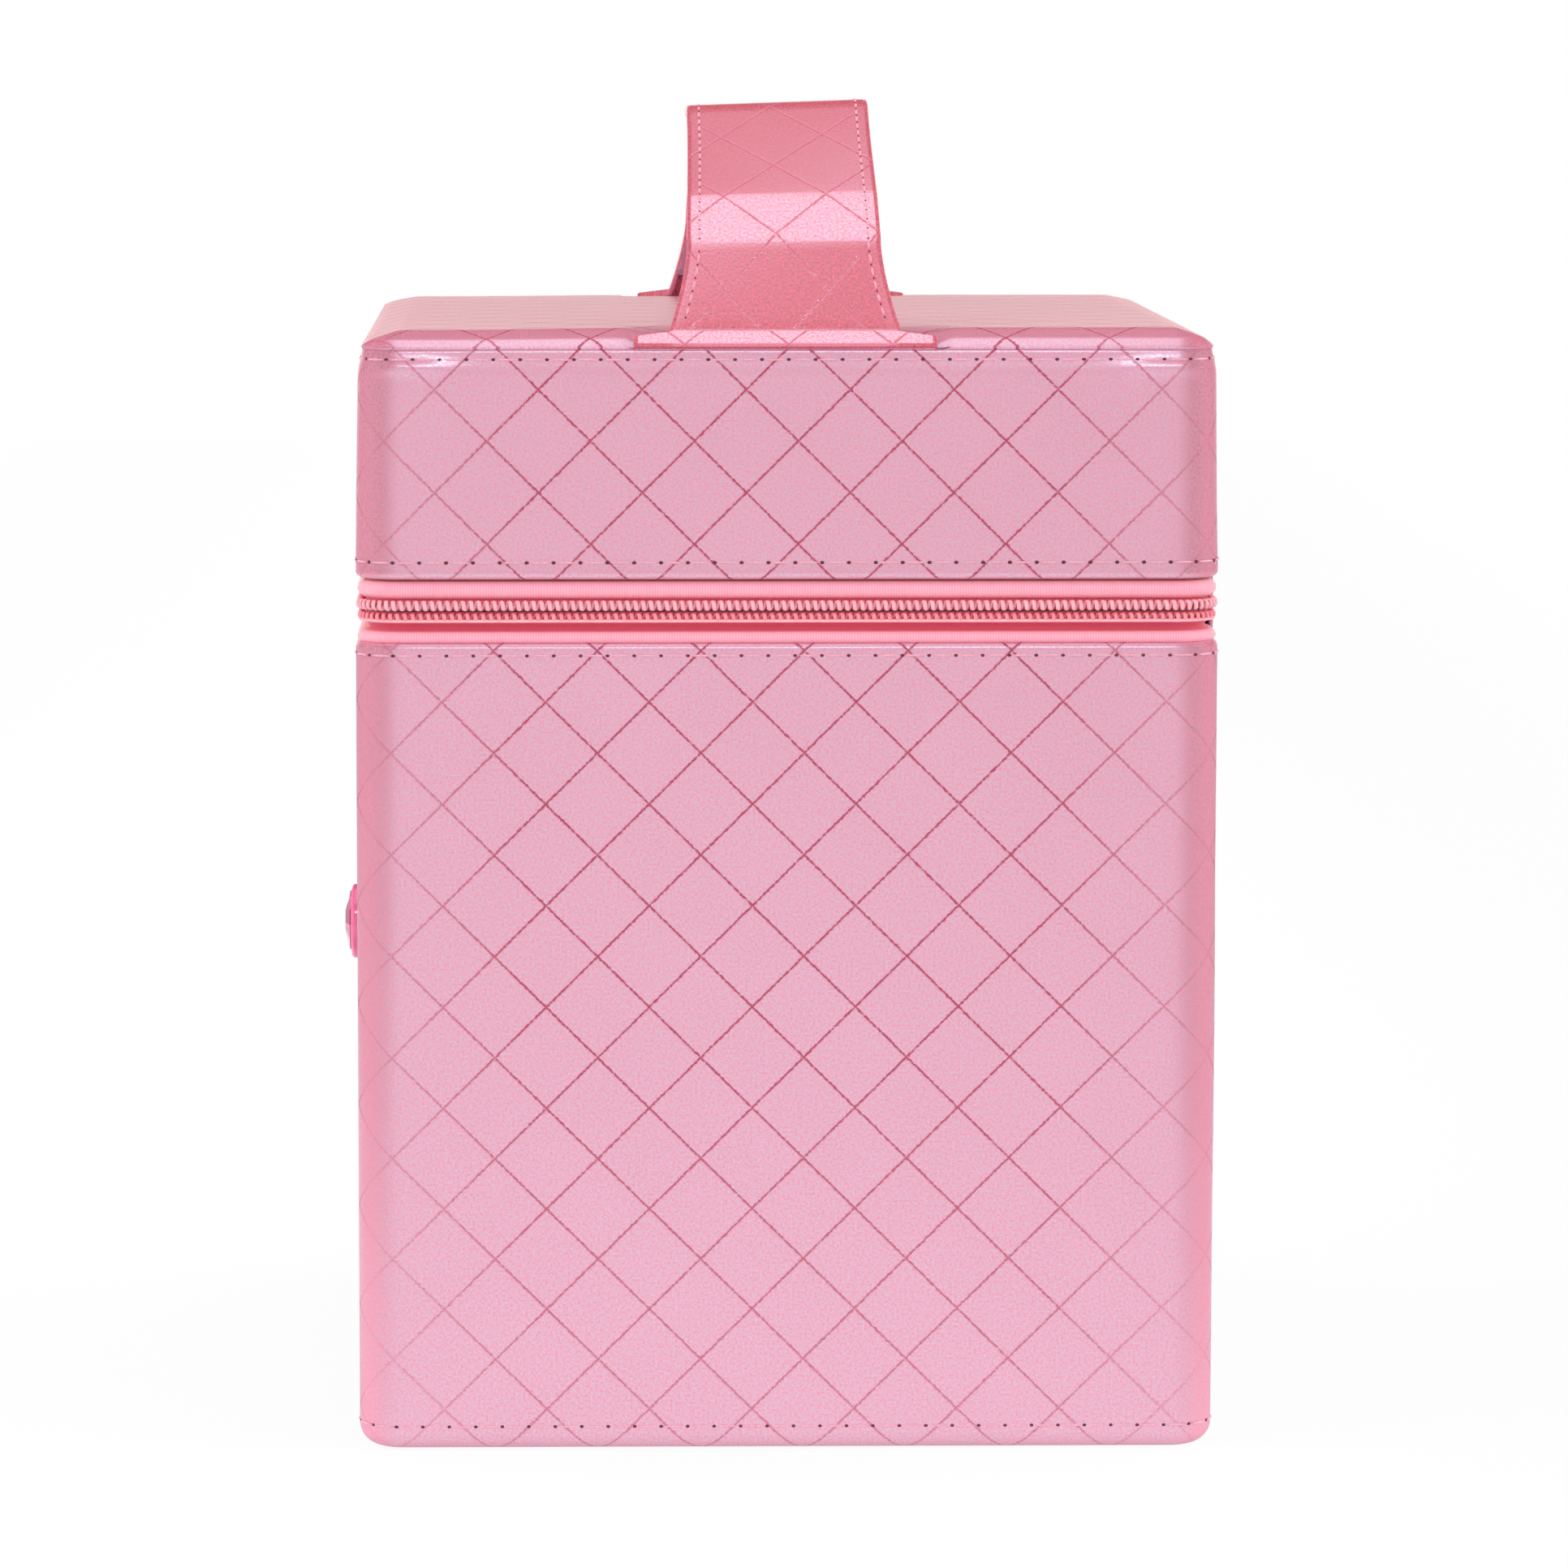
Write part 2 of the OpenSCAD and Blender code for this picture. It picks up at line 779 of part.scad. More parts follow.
// Turned knob: a neck and a bezel with a rounded rim, bored for its screw.
module drawer_knob() {
    rim = 0.8;
    color(pale_pink)
        translate([0, front_y, knob_z])
            rotate([90, 0, 0])
                difference() {
                    union() {
                        cylinder(h = neck_h, d = neck_d);
                        translate([0, 0, neck_h])
                            rotate_extrude()
                                bezel_profile(rim);
                    }
                    translate([0, 0, -1])
                        cylinder(h = neck_h + knob_h - 0.2, d = screw_d);
                }
}

module bezel_profile(rim) {
    square([knob_d / 2 - rim, knob_h]);
    translate([0, rim])
        square([knob_d / 2, knob_h - 2 * rim]);
    for (y = [rim, knob_h - rim])
        translate([knob_d / 2 - rim, y])
            circle(rim, $fn = 32);
}

// Faceted stone: a girdle, a crown of twelve facets and a flat table.
module knob_stone() {
    girdle = 0.3;
    color("#D0729B")
        translate([0, front_y - neck_h - knob_h, knob_z])
            rotate([90, 0, 0]) {
                cylinder(h = girdle, d = stone_d, $fn = 12);
                translate([0, 0, girdle])
                    cylinder(h = stone_h - girdle, d1 = stone_d, d2 = 0.45 * stone_d, $fn = 12);
            }
}

// Machine screw from inside the drawer front into the knob.
module knob_screw() {
    head_d = 2 * screw_d;
    head_h = 1.6;
    color("#C9C6C4")
        translate([0, box_y0, knob_z])
            rotate([90, 0, 0]) {
                translate([0, 0, -head_h])
                    difference() {
                        cylinder(h = head_h, d = head_d);
                        translate([-head_d, -0.4, -slack])
                            cube([2 * head_d, 0.8, 0.7]);
                    }
                cylinder(h = front_t + cover_t + neck_h + knob_h - 2, d = screw_d);
            }
}

// ---- zip slider and pull ----

// The slider: outer plate with flanges, inner plate, wedge, and bridge for the pull.
module zip_slider() {
    face_x = -case_l / 2;
    flange_z = row_z + row_h + zip_gap;
    inner_x = face_x + tape_in + tape_t + zip_gap;
    flange_in = tape_in - 1.5 * zip_gap;
    color("#D9D4D6")
        translate([0, park_y, zip_z]) {
            slider_plate(face_x - slider_out - plate_t, plate_t);
            slider_plate(inner_x, inner_plate_t);
            for (side = [-1, 1])
                translate([0, 0, side * (flange_z + 0.4)])
                    block([face_x - slider_out - slack, -slider_l / 2 + 1.5, -0.4],
                          [face_x + flange_in, slider_l / 2 - 1.5, 0.4]);
            block([face_x - slider_out - slack, slider_l / 2 - 3.4, -wedge_t / 2],
                  [inner_x + slack, slider_l / 2 - 0.6, wedge_t / 2]);
            slider_bridge(face_x - slider_out - plate_t);
        }
}

// A slider plate with round corners, seen from the end of the case.
module slider_plate(x0, t) {
    translate([x0, 0, 0])
        rotate([90, 0, 90])
            linear_extrude(t)
                round_rect(slider_l, slider_h, 2);
}

// Half ring along the slider that traps the bar of the pull.
module slider_bridge(plate_x) {
    inner_r = pull_bar_d + 2 * zip_gap;
    intersection() {
        translate([plate_x, 0, 0])
            difference() {
                cylinder(h = wedge_t, r = inner_r + 0.9, center = true);
                cylinder(h = wedge_t + 1, r = inner_r, center = true);
            }
        block([plate_x - 10, -10, -5], [plate_x + plate_t / 2, 10, 5]);
    }
}

// Pull tab: a bar under the bridge, two arms and a rounded tab with a slot.
module zip_pull() {
    arm_in = wedge_t / 2 + zip_gap;
    color("#D9D4D6")
        translate([pull_axis_x, park_y, zip_z]) {
            cylinder(h = 2 * arm_in + 1.6, d = pull_bar_d, center = true);
            translate([-pull_t / 2, 0, 0])
                rotate([90, 0, 90])
                    linear_extrude(pull_t)
                        difference() {
                            pull_outline(arm_in);
                            translate([0, -arm_in])
                                square([7, 2 * arm_in]);
                            translate([-5, -5])
                                square([5, 10]);
                            translate([pull_l - 6, 0])
                                circle(1.6);
                        }
        }
}

// The pull seen flat: narrow at the slider, wide and round at its end.
module pull_outline(arm_in) {
    translate([-0.5, -arm_in - 0.8])
        square([9, 2 * arm_in + 1.6]);
    translate([8, -pull_w / 2])
        square([pull_l - 8 - pull_w / 2, pull_w]);
    translate([pull_l - pull_w / 2, 0])
        circle(pull_w / 2);
}

body_cover();
base_cover();
wall_board();
front_board();
base_board();
bay_side(-1);  // bay_side_left
bay_side(1);  // bay_side_right
shelf_board();
runner(-1);  // runner_left
runner(1);  // runner_right
drawer_stop();
tray();
tray_divider_long();
tray_divider_cross();
zip_tape_lower();
zip_teeth_lower();
zip_stop_lower();
hinge_strip_lower();
lid_cover();
lid_top_cover();
lid_wall_board();
lid_top_board();
lid_padding();
lid_lining();
mirror_frame();
mirror_glass();
handle_cover();
handle_core();
handle_lining();
zip_tape_upper();
zip_teeth_upper();
zip_stop_upper();
hinge_strip_upper();
drawer_front_board();
drawer_front_cover();
drawer_side(-1);  // drawer_side_left
drawer_side(1);  // drawer_side_right
drawer_back();
drawer_bottom();
drawer_lining();
drawer_divider_long();
drawer_divider_cross();
drawer_knob();
knob_stone();
knob_screw();
zip_slider();
zip_pull();
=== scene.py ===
"""Looks of the makeup storage case: quilted pearl leathercloth, coil zip, strap, drawer and tray.

Lengths are millimetres until a mesh is made; the frame's own boxes give the places.
"""
import json
import math

import bpy
import numpy as np
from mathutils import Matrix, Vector


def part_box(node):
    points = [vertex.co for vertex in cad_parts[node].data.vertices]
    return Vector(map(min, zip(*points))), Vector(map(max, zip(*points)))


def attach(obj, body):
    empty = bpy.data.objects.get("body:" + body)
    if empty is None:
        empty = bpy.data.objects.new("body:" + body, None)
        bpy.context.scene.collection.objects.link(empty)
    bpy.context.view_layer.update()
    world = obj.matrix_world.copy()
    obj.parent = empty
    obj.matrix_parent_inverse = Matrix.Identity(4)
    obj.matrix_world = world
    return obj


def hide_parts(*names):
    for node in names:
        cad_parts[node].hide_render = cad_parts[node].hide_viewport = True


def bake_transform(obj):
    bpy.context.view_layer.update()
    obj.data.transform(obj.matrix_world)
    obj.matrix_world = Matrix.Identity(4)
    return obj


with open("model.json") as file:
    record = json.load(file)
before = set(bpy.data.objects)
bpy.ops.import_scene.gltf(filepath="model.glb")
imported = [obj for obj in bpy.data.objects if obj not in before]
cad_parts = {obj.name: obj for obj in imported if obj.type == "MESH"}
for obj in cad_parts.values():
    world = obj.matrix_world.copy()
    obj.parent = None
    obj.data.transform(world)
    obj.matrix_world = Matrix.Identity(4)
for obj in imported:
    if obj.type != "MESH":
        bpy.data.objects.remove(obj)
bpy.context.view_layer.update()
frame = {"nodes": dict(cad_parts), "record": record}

MM = 0.001


# ---- sizes read from the frame -----------------------------------------------------------

def box_mm(node):
    """Lowest and highest corner of a CAD node in millimetres."""
    low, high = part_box(node)
    return np.array(low) / MM, np.array(high) / MM


case_hi = box_mm("body_cover")[1]
lid_lo = box_mm("lid_cover")[0]
strip_hi = box_mm("hinge_strip_lower")[1]
strap_hi = box_mm("handle_cover")[1]
front_lo, front_hi = box_mm("drawer_front_cover")

HALF_L = case_hi[0]                 # half the length, along the strap
HALF_D = case_hi[1]                 # half the depth, drawer side to hinge side
BODY_TOP = case_hi[2]
LID_Z0 = lid_lo[2]
LID_TOP = box_mm("lid_top_cover")[1][2] - 1.6    # flat of the lid, without its crown
SEAM_Z = LID_TOP - 1.0              # edge seam round the lid top
ZIP_Z = (BODY_TOP + LID_Z0) / 2
CORNER_R = 9.0                      # upright corners
BASE_R = 4.5                        # bottom edge
HEM = 16.0                          # hem turned under the base
CORNER_PULL = 0.25                  # how far the lid's corners draw in below its edge seam
PUCKER = 0.55                       # height of the skin's ridge beside those corners
LID_CLOTH = (1.3, -0.85)            # how the lid's quilting lies against the body's
OPEN_X = front_hi[0] + 1.0          # drawer opening, a gap round the drawer front
OPEN_Z = (front_lo[2] - 1.0, front_hi[2] + 1.0)
TAPE_END_X = strip_hi[0]            # the tapes end here on the back

STRAP_W = 38.6
FOOT_W = 60.0                       # the strap's feet
DIAMOND = (20.56, 20.38)            # quilting diamonds, across their corners
STITCH = 5.3                        # stitch length of the edge seams
COIL_PITCH = 1.55                   # turns of the zip coil


# ---- meshes from arrays ------------------------------------------------------------------

def mesh_piece(name, points, faces, uv=None):
    """A mesh object from points in millimetres, faces as index rows and UVs per face corner."""
    mesh = bpy.data.meshes.new(name)
    mesh.from_pydata((np.asarray(points) * MM).tolist(), [], [list(f) for f in faces])
    if uv is not None:
        layer = mesh.uv_layers.new(name="UVMap")
        layer.data.foreach_set("uv", (np.asarray(uv) * MM).astype(np.float32).ravel())
    mesh.polygons.foreach_set("use_smooth", [True] * len(mesh.polygons))
    mesh.update()
    piece = bpy.data.objects.new(name, mesh)
    bpy.context.scene.collection.objects.link(piece)
    return piece


def grid_faces(rows, cols, wrap_rows=False, wrap_cols=False, flip=False):
    """Quads of a grid as an (n, 4) array, and the unwrapped grid index of each corner."""
    r = np.arange(rows if wrap_rows else rows - 1)
    c = np.arange(cols if wrap_cols else cols - 1)
    r, c = (a.ravel() for a in np.meshgrid(r, c, indexing="ij"))
    corners = np.stack([np.stack([r, c], 1), np.stack([r + 1, c], 1),
                        np.stack([r + 1, c + 1], 1), np.stack([r, c + 1], 1)], 1)
    if flip:
        corners = corners[:, ::-1]
    index = (corners[..., 0] % rows) * cols + corners[..., 1] % cols
    return index, corners


def grid_piece(name, points, u=None, v=None, wrap_rows=False, wrap_cols=False, flip=False,
               keep=None):
    """A grid of points (rows, cols, 3) as a mesh. u and v are the UV of each row and column.

    Where the grid wraps, u or v has one value more, so that the pattern runs on round it.
    keep is a mask over the quads.
    """
    rows, cols = points.shape[:2]
    faces, corners = grid_faces(rows, cols, wrap_rows, wrap_cols, flip)
    if keep is not None:
        faces, corners = faces[keep], corners[keep]
    uv = None
    if u is not None:
        uv = np.stack([np.asarray(u)[corners[..., 0]], np.asarray(v)[corners[..., 1]]], -1)
    flat = points.reshape(-1, 3)
    if keep is not None:
        used, faces = np.unique(faces, return_inverse=True)
        flat, faces = flat[used], faces.reshape(-1, 4)
    return mesh_piece(name, flat, faces, None if uv is None else uv.reshape(-1, 2))


def capped_piece(name, points, uv=None, flip=False):
    """A closed tube: a grid of points that wraps across its columns, with both ends capped.

    uv holds a value for each point and one column more, so that the pattern runs on.
    """
    rows, cols = points.shape[:2]
    faces, corners = grid_faces(rows, cols, wrap_cols=True, flip=flip)
    ends = [list(range(cols)), list(range((rows - 1) * cols, rows * cols))]
    ends[0 if not flip else 1].reverse()
    flat = points.reshape(-1, 3)
    if uv is not None:
        uv = uv[corners[..., 0], corners[..., 1]].reshape(-1, 2)
        uv = np.concatenate([uv] + [flat[end][:, :2] for end in ends])
    return mesh_piece(name, flat, faces.tolist() + ends, uv)


def domed_piece(name, points, across, up):
    """A closed form: rings of points that wrap across its rows, its first and last ring capped.

    Its UVs are two of the points' coordinates.
    """
    rows, cols = points.shape[:2]
    faces, _ = grid_faces(rows, cols, wrap_rows=True)
    flat = points.reshape(-1, 3)
    first = np.arange(rows) * cols
    caps = [first[::-1].tolist(), (first + cols - 1).tolist()]
    uv = np.concatenate([flat[faces].reshape(-1, 3)] + [flat[cap] for cap in caps])
    return mesh_piece(name, flat, faces.tolist() + caps, uv[:, [across, up]])


def copies(points, faces, places, frames):
    """One small shape at many places. frames holds a 3x3 matrix of axes for each place."""
    n = len(places)
    all_points = np.einsum("pk,nkj->npj", points, frames) + places[:, None, :]
    all_faces = faces[None] + (np.arange(n) * len(points))[:, None, None]
    return all_points.reshape(-1, 3), all_faces.reshape(-1, faces.shape[1])


def thicken(piece, thickness):
    """Gives a surface its real wall, inwards from where it was drawn."""
    wall = piece.modifiers.new("wall", "SOLIDIFY")
    wall.thickness = thickness * MM
    wall.offset = -1.0
    wall.use_even_offset = False


def arc(cx, cy, r, a0, a1, n):
    """Points on a circle from angle a0 to a1 in degrees."""
    a = np.radians(np.linspace(a0, a1, n))
    return np.stack([cx + r * np.cos(a), cy + r * np.sin(a)], 1)


def smooth_step(t):
    """0 below 0, 1 above 1 and a smooth cubic between."""
    t = np.clip(t, 0, 1)
    return t * t * (3 - 2 * t)


def along(line):
    """Running length of a polyline."""
    return np.concatenate([[0], np.cumsum(np.linalg.norm(np.diff(line, axis=0), axis=1))])


def sample(at, run, line):
    """Each column of a line of points, interpolated at the given running lengths."""
    return np.stack([np.interp(at, run, column) for column in line.T], 1)


# ---- the case's outline in plan ----------------------------------------------------------

def outline(step=3.0, corner_steps=9, breaks=()):
    """The plan outline as corner centres, outward directions and running length.

    It starts in the middle of the back, passes the -X end, the front and the +X end, and
    its length is 0 in the middle of the +X end, where it equals Y. A point of the outline
    at an inset is centre + (corner_r - inset) * outward.
    """
    cx, cy = HALF_L - CORNER_R, HALF_D - CORNER_R
    sides = [((0, cy), (-cx, cy), 90), ((-cx, cy), (-cx, -cy), 180),
             ((-cx, -cy), (cx, -cy), 270), ((cx, -cy), (cx, cy), 0), ((cx, cy), (0, cy), 90)]
    centres, turns, lengths = [], [], []
    run = 0.0
    for k, (a, b, angle) in enumerate(sides):
        a, b = np.array(a, float), np.array(b, float)
        length = np.linalg.norm(b - a)
        if angle == 0:
            middle = run + length / 2
        t = np.linspace(0, 1, max(2, round(length / step)) + 1)
        if angle == 270:
            t = np.unique(np.round(np.append(t, [(x + cx) / length for x in breaks]), 4))
        centres.append(a + t[:, None] * (b - a))
        turns.append(np.full(len(t), math.radians(angle)))
        lengths.append(run + t * length)
        run += length
        if k < 4:
            s = np.linspace(0, 1, corner_steps + 1)[1:-1]
            centres.append(np.repeat(b[None], len(s), 0))
            turns.append(math.radians(angle) + s * math.pi / 2)
            lengths.append(run + s * CORNER_R * math.pi / 2)
            run += CORNER_R * math.pi / 2
    centres, turns, lengths = (np.concatenate(x) for x in (centres, turns, lengths))
    outward = np.stack([np.cos(turns), np.sin(turns)], 1)
    return centres, outward, lengths - middle


def swept(profile, path):
    """A profile of (inset, z) carried round the outline: points (along, profile, 3).

    Where the corner's radius would fall under half a millimetre, its centre moves inwards.
    """
    centres, outward, _ = path
    inset, z = profile[:, 0], profile[:, 1]
    reach = np.maximum(CORNER_R - inset, 0.5)
    over = inset + reach - CORNER_R
    limit = np.array([HALF_L - CORNER_R, HALF_D - CORNER_R])
    shrink = (limit - over[:, None]) / limit
    xy = centres[:, None, :] * shrink[None] + outward[:, None, :] * reach[None, :, None]
    heights = np.broadcast_to(z, xy.shape[:2])
    return np.concatenate([xy, heights[..., None]], 2)


def closed_path(**options):
    """The outline without its repeated last point, and its running length with it."""
    centres, outward, lengths = outline(**options)
    return (centres[:-1], outward[:-1], lengths[:-1]), lengths


def ring(half_x, half_y, radius, profile, corner_steps=7):
    """A closed rim round a rounded rectangle in plan: points (along, profile, 3).

    The profile holds (distance outwards from the rectangle, z).
    """
    t = np.linspace(0, math.pi / 2, corner_steps)
    turns = (np.arange(4) * math.pi / 2)[:, None] + t
    outward = np.stack([np.cos(turns), np.sin(turns)], -1)
    corner = np.array([[1, 1], [-1, 1], [-1, -1], [1, -1]])
    centres = corner * [half_x - radius, half_y - radius]
    out = (radius + profile[:, 0])[None, None, :, None]
    xy = centres[:, None, None] + outward[:, :, None] * out
    xy = xy.reshape(-1, len(profile), 2)
    z = np.broadcast_to(profile[:, 1], xy.shape[:2])
    return np.concatenate([xy, z[..., None]], 2)


def swell(u, v, v0, v1, height):
    """Soft unevenness of cloth over board: low waves that die out at both edges."""
    fade = smooth_step((v - v0) / 14) * smooth_step((v1 - v) / 14)
    waves = (np.sin(u / 31.0 + 0.6) * np.cos(v / 27.0 + 0.4)
             + 0.6 * np.sin(u / 17.0 - v / 23.0) + 0.4 * np.cos(u / 11.0 + v / 19.0))
    return height * fade * waves


# ---- colours and material nodes ----------------------------------------------------------

COLOURS = {"out": 2, "data_type": "RGBA"}    # a Mix node that mixes its colour sockets 6 and 7
GRAININESS = 0.55                            # how much of its fine detail a noise shows


def linear(hex_colour):
    """An sRGB hex colour as linear RGBA."""
    parts = np.array([int(hex_colour[i:i + 2], 16) for i in (1, 3, 5)]) / 255
    low, high = parts / 12.92, ((parts + 0.055) / 1.055) ** 2.4
    return (*np.where(parts <= 0.04045, low, high).tolist(), 1.0)


def add(tree, kind, inputs=(), out=0, **settings):
    """Adds a node and gives back one of its outputs.

    Settings are the node's properties. Inputs are its sockets' values or links, in their
    order or by name or number.
    """
    node = tree.nodes.new("ShaderNode" + kind)
    for name, value in settings.items():
        setattr(node, name, value)
    for key, value in inputs.items() if isinstance(inputs, dict) else enumerate(inputs):
        if isinstance(value, bpy.types.NodeSocket):
            tree.links.new(value, node.inputs[key])
        else:
            node.inputs[key].default_value = value
    return node.outputs[out] if node.outputs else None


def new_material(name):
    """An empty node material, its tree and the place on the case in metres."""
    material = bpy.data.materials.new(name)
    material.use_nodes = True
    material.node_tree.nodes.clear()
    return material, material.node_tree, add(material.node_tree, "TexCoord", out="Object")


def diamond_lines(tree, uv, width_mm, shift):
    """1 on the lines of a diamond lattice laid over UVs in metres, 0 between them.

    With a = u / across and b = v / down, both counted from the shift, the two families of
    lines are where a + b and a - b are whole numbers. The pressed lines wander a little.
    """
    counts = []
    for part, start, size in zip(add(tree, "SeparateXYZ", (uv,)).node.outputs, shift, DIAMOND):
        from_start = add(tree, "Math", (part, start * MM), operation="SUBTRACT")
        counts.append(add(tree, "Math", (from_start, 1 / (size * MM)), operation="MULTIPLY"))
    distances = []
    for operation in ("ADD", "SUBTRACT"):
        both = add(tree, "Math", counts, operation=operation)
        positive = add(tree, "Math", (both, 100.5), operation="ADD")
        whole = add(tree, "Math", (positive,), operation="FRACT")
        centred = add(tree, "Math", (whole, 0.5), operation="SUBTRACT")
        distances.append(add(tree, "Math", (centred,), operation="ABSOLUTE"))
    nearest = add(tree, "Math", distances, operation="MINIMUM")
    mm_away = add(tree, "Math", (nearest, DIAMOND[0] / math.sqrt(2)), operation="MULTIPLY")
    uneven = add(tree, "TexNoise", {"Vector": uv, "Scale": 1 / (0.7 * MM), "Detail": 3.0,
                                    "Roughness": GRAININESS})
    wander = add(tree, "MapRange", (uneven, 0.3, 0.7, -0.16, 0.16))
    away = add(tree, "Math", (mm_away, wander), operation="ADD")
    return add(tree, "MapRange", (away, width_mm / 2 + 0.12, width_mm / 2 - 0.12, 0.0, 1.0))


def stretch(tree, place):
    """What the place on the case does to the skin: depth of the pressed lines, share of pearl.

    The stretch round the upright corners flattens the lines and thins the pearl coat. On the
    ends the lines are fainter low down and towards the corners.
    """
    x, y, z = add(tree, "SeparateXYZ", (place,)).node.outputs
    across, deep = (add(tree, "Math", (part,), operation="ABSOLUTE") for part in (x, y))
    near_end, near_side = (
        add(tree, "MapRange", (part, (half - 7.5) * MM, (half - 3.5) * MM, 0.0, 1.0))
        for part, half in ((across, HALF_L), (deep, HALF_D)))
    corner = add(tree, "Math", (near_end, near_side), operation="MULTIPLY")
    flattened = add(tree, "MapRange", (corner, 0.0, 1.0, 1.0, 0.4))
    low = add(tree, "MapRange", (z, 0.0, 80 * MM, 0.62, 1.0))
    fade = add(tree, "MapRange", (deep, (HALF_D - 34) * MM, (HALF_D - 8) * MM, 0.0, 0.52))
    on_end = add(tree, "Math", (near_end, fade), operation="MULTIPLY")
    side = add(tree, "Math", (1.0, on_end), operation="SUBTRACT")
    worn = add(tree, "Math", (low, side), operation="MULTIPLY")
    depth = add(tree, "Math", (flattened, worn), operation="MULTIPLY")
    return depth, add(tree, "MapRange", (corner, 0.0, 1.0, 1.0, 0.67))


def pearl_leathercloth(name, quilted=True, shift=(0.0, 0.0), film=("#E8849A", "#E47A92"),
                       groove="#A93A5C", pearl_top=0.52, gloss=0.34, line=0.42, crest_shade=None):
    """PU leathercloth: a deep pink film with a sprayed pearl coat, quilting lines pressed in.

    The mica in the coat mirrors light softly with a cool tint, so faces turned to a light
    look pale lilac-pink and the others show the deep pink under it. The hot wires that
    press the lines burn the pearl away and leave a raspberry groove. The embossed grain is
    about 0.5 mm. The shift is where the lattice lies on the cloth, in millimetres. A crest
    colour, when given, is a darker pink painted on the crest of the strap as shade, where
    the pearl is dimmed too.
    """
    material, tree, place = new_material(name)
    cloth = add(tree, "UVMap", uv_map="UVMap") if quilted else place
    grain, clouds = (add(tree, "TexNoise", {"Vector": cloth, "Scale": 1 / (size * MM),
                                            "Detail": 2.0, "Roughness": GRAININESS})
                     for size in (0.5, 22.0))
    colour = add(tree, "Mix", {0: clouds, 6: linear(film[0]), 7: linear(film[1])}, **COLOURS)
    pearl = add(tree, "MapRange", (grain, 0.33, 0.67, 0.13, pearl_top))
    height = add(tree, "Math", (grain, 0.3), operation="MULTIPLY")
    # painted shade: above LID_TOP + 27 mm the crest gets a darker pink and less pearl; worn is the
    # mask of that crest
    if crest_shade:
        z = add(tree, "SeparateXYZ", (place,), out=2)
        worn = add(tree, "MapRange", (z, (LID_TOP + 27) * MM, (LID_TOP + 31) * MM, 0.0, 1.0))
        colour = add(tree, "Mix", {0: worn, 6: colour, 7: linear(crest_shade)}, **COLOURS)
        left = add(tree, "MapRange", (worn, 0.0, 1.0, 1.0, 0.85))
        pearl = add(tree, "Math", (pearl, left), operation="MULTIPLY")
    if quilted:
        depth, coated = stretch(tree, place)
        pearl = add(tree, "Math", (pearl, coated), operation="MULTIPLY")
        lattice = diamond_lines(tree, cloth, line, shift)
        lines = add(tree, "Math", (lattice, depth), operation="MULTIPLY")
        colour = add(tree, "Mix", {0: lines, 6: colour, 7: linear(groove)}, **COLOURS)
        between = add(tree, "Math", (1.0, lines), operation="SUBTRACT")
        pearl = add(tree, "Math", (pearl, between), operation="MULTIPLY")
        height = add(tree, "Math", (height, lines), operation="SUBTRACT")
    normal = add(tree, "Bump", {"Height": height, "Distance": 0.10 * MM, "Strength": 0.5})
    pink = add(tree, "BsdfPrincipled", {"Base Color": colour, "Roughness": 0.45, "Normal": normal})
    coat = add(tree, "BsdfPrincipled", {"Base Color": linear("#CBE2F8"), "Metallic": 1.0,
                                        "Roughness": gloss, "Normal": normal})
    add(tree, "OutputMaterial", (add(tree, "MixShader", (pearl, pink, coat)),))
    return material


def plain_material(name, dark, light, size_mm, roughness, depth_mm=0.05, **sockets):
    """A Principled finish whose colour varies between two tones in spots of size_mm."""
    material, tree, place = new_material(name)
    spots = add(tree, "TexNoise", {"Vector": place, "Scale": 1 / (size_mm * MM), "Detail": 4.0,
                                   "Roughness": GRAININESS})
    share = add(tree, "MapRange", (spots, 0.3, 0.7, 0.0, 1.0))
    colour = add(tree, "Mix", {0: share, 6: linear(dark), 7: linear(light)}, **COLOURS)
    normal = add(tree, "Bump", {"Height": spots, "Distance": depth_mm * MM, "Strength": 0.7})
    values = {"Base Color": colour, "Roughness": roughness, "Normal": normal}
    values.update({key.replace("_", " "): value for key, value in sockets.items()})
    add(tree, "OutputMaterial", (add(tree, "BsdfPrincipled", values),))
    return material


def beech(name):
    """Planed beech: pale brown with short darker flecks along the grain, which runs in Y."""
    material, tree, place = new_material(name)
    stretched = add(tree, "Mapping", {"Vector": place, "Scale": (1, 0.06, 1)})
    fibres = add(tree, "TexNoise", {"Vector": stretched, "Scale": 1 / (0.5 * MM), "Detail": 4.0,
                                    "Roughness": GRAININESS})
    share = add(tree, "MapRange", (fibres, 0.35, 0.65, 0.0, 1.0))
    wood = add(tree, "Mix", {0: share, 6: linear("#B98F62"), 7: linear("#DDBD92")}, **COLOURS)
    normal = add(tree, "Bump", {"Height": fibres, "Distance": 0.05 * MM, "Strength": 1.0})
    shader = add(tree, "BsdfPrincipled", {"Base Color": wood, "Roughness": 0.55,
                                          "Normal": normal})
    add(tree, "OutputMaterial", (shader,))
    return material


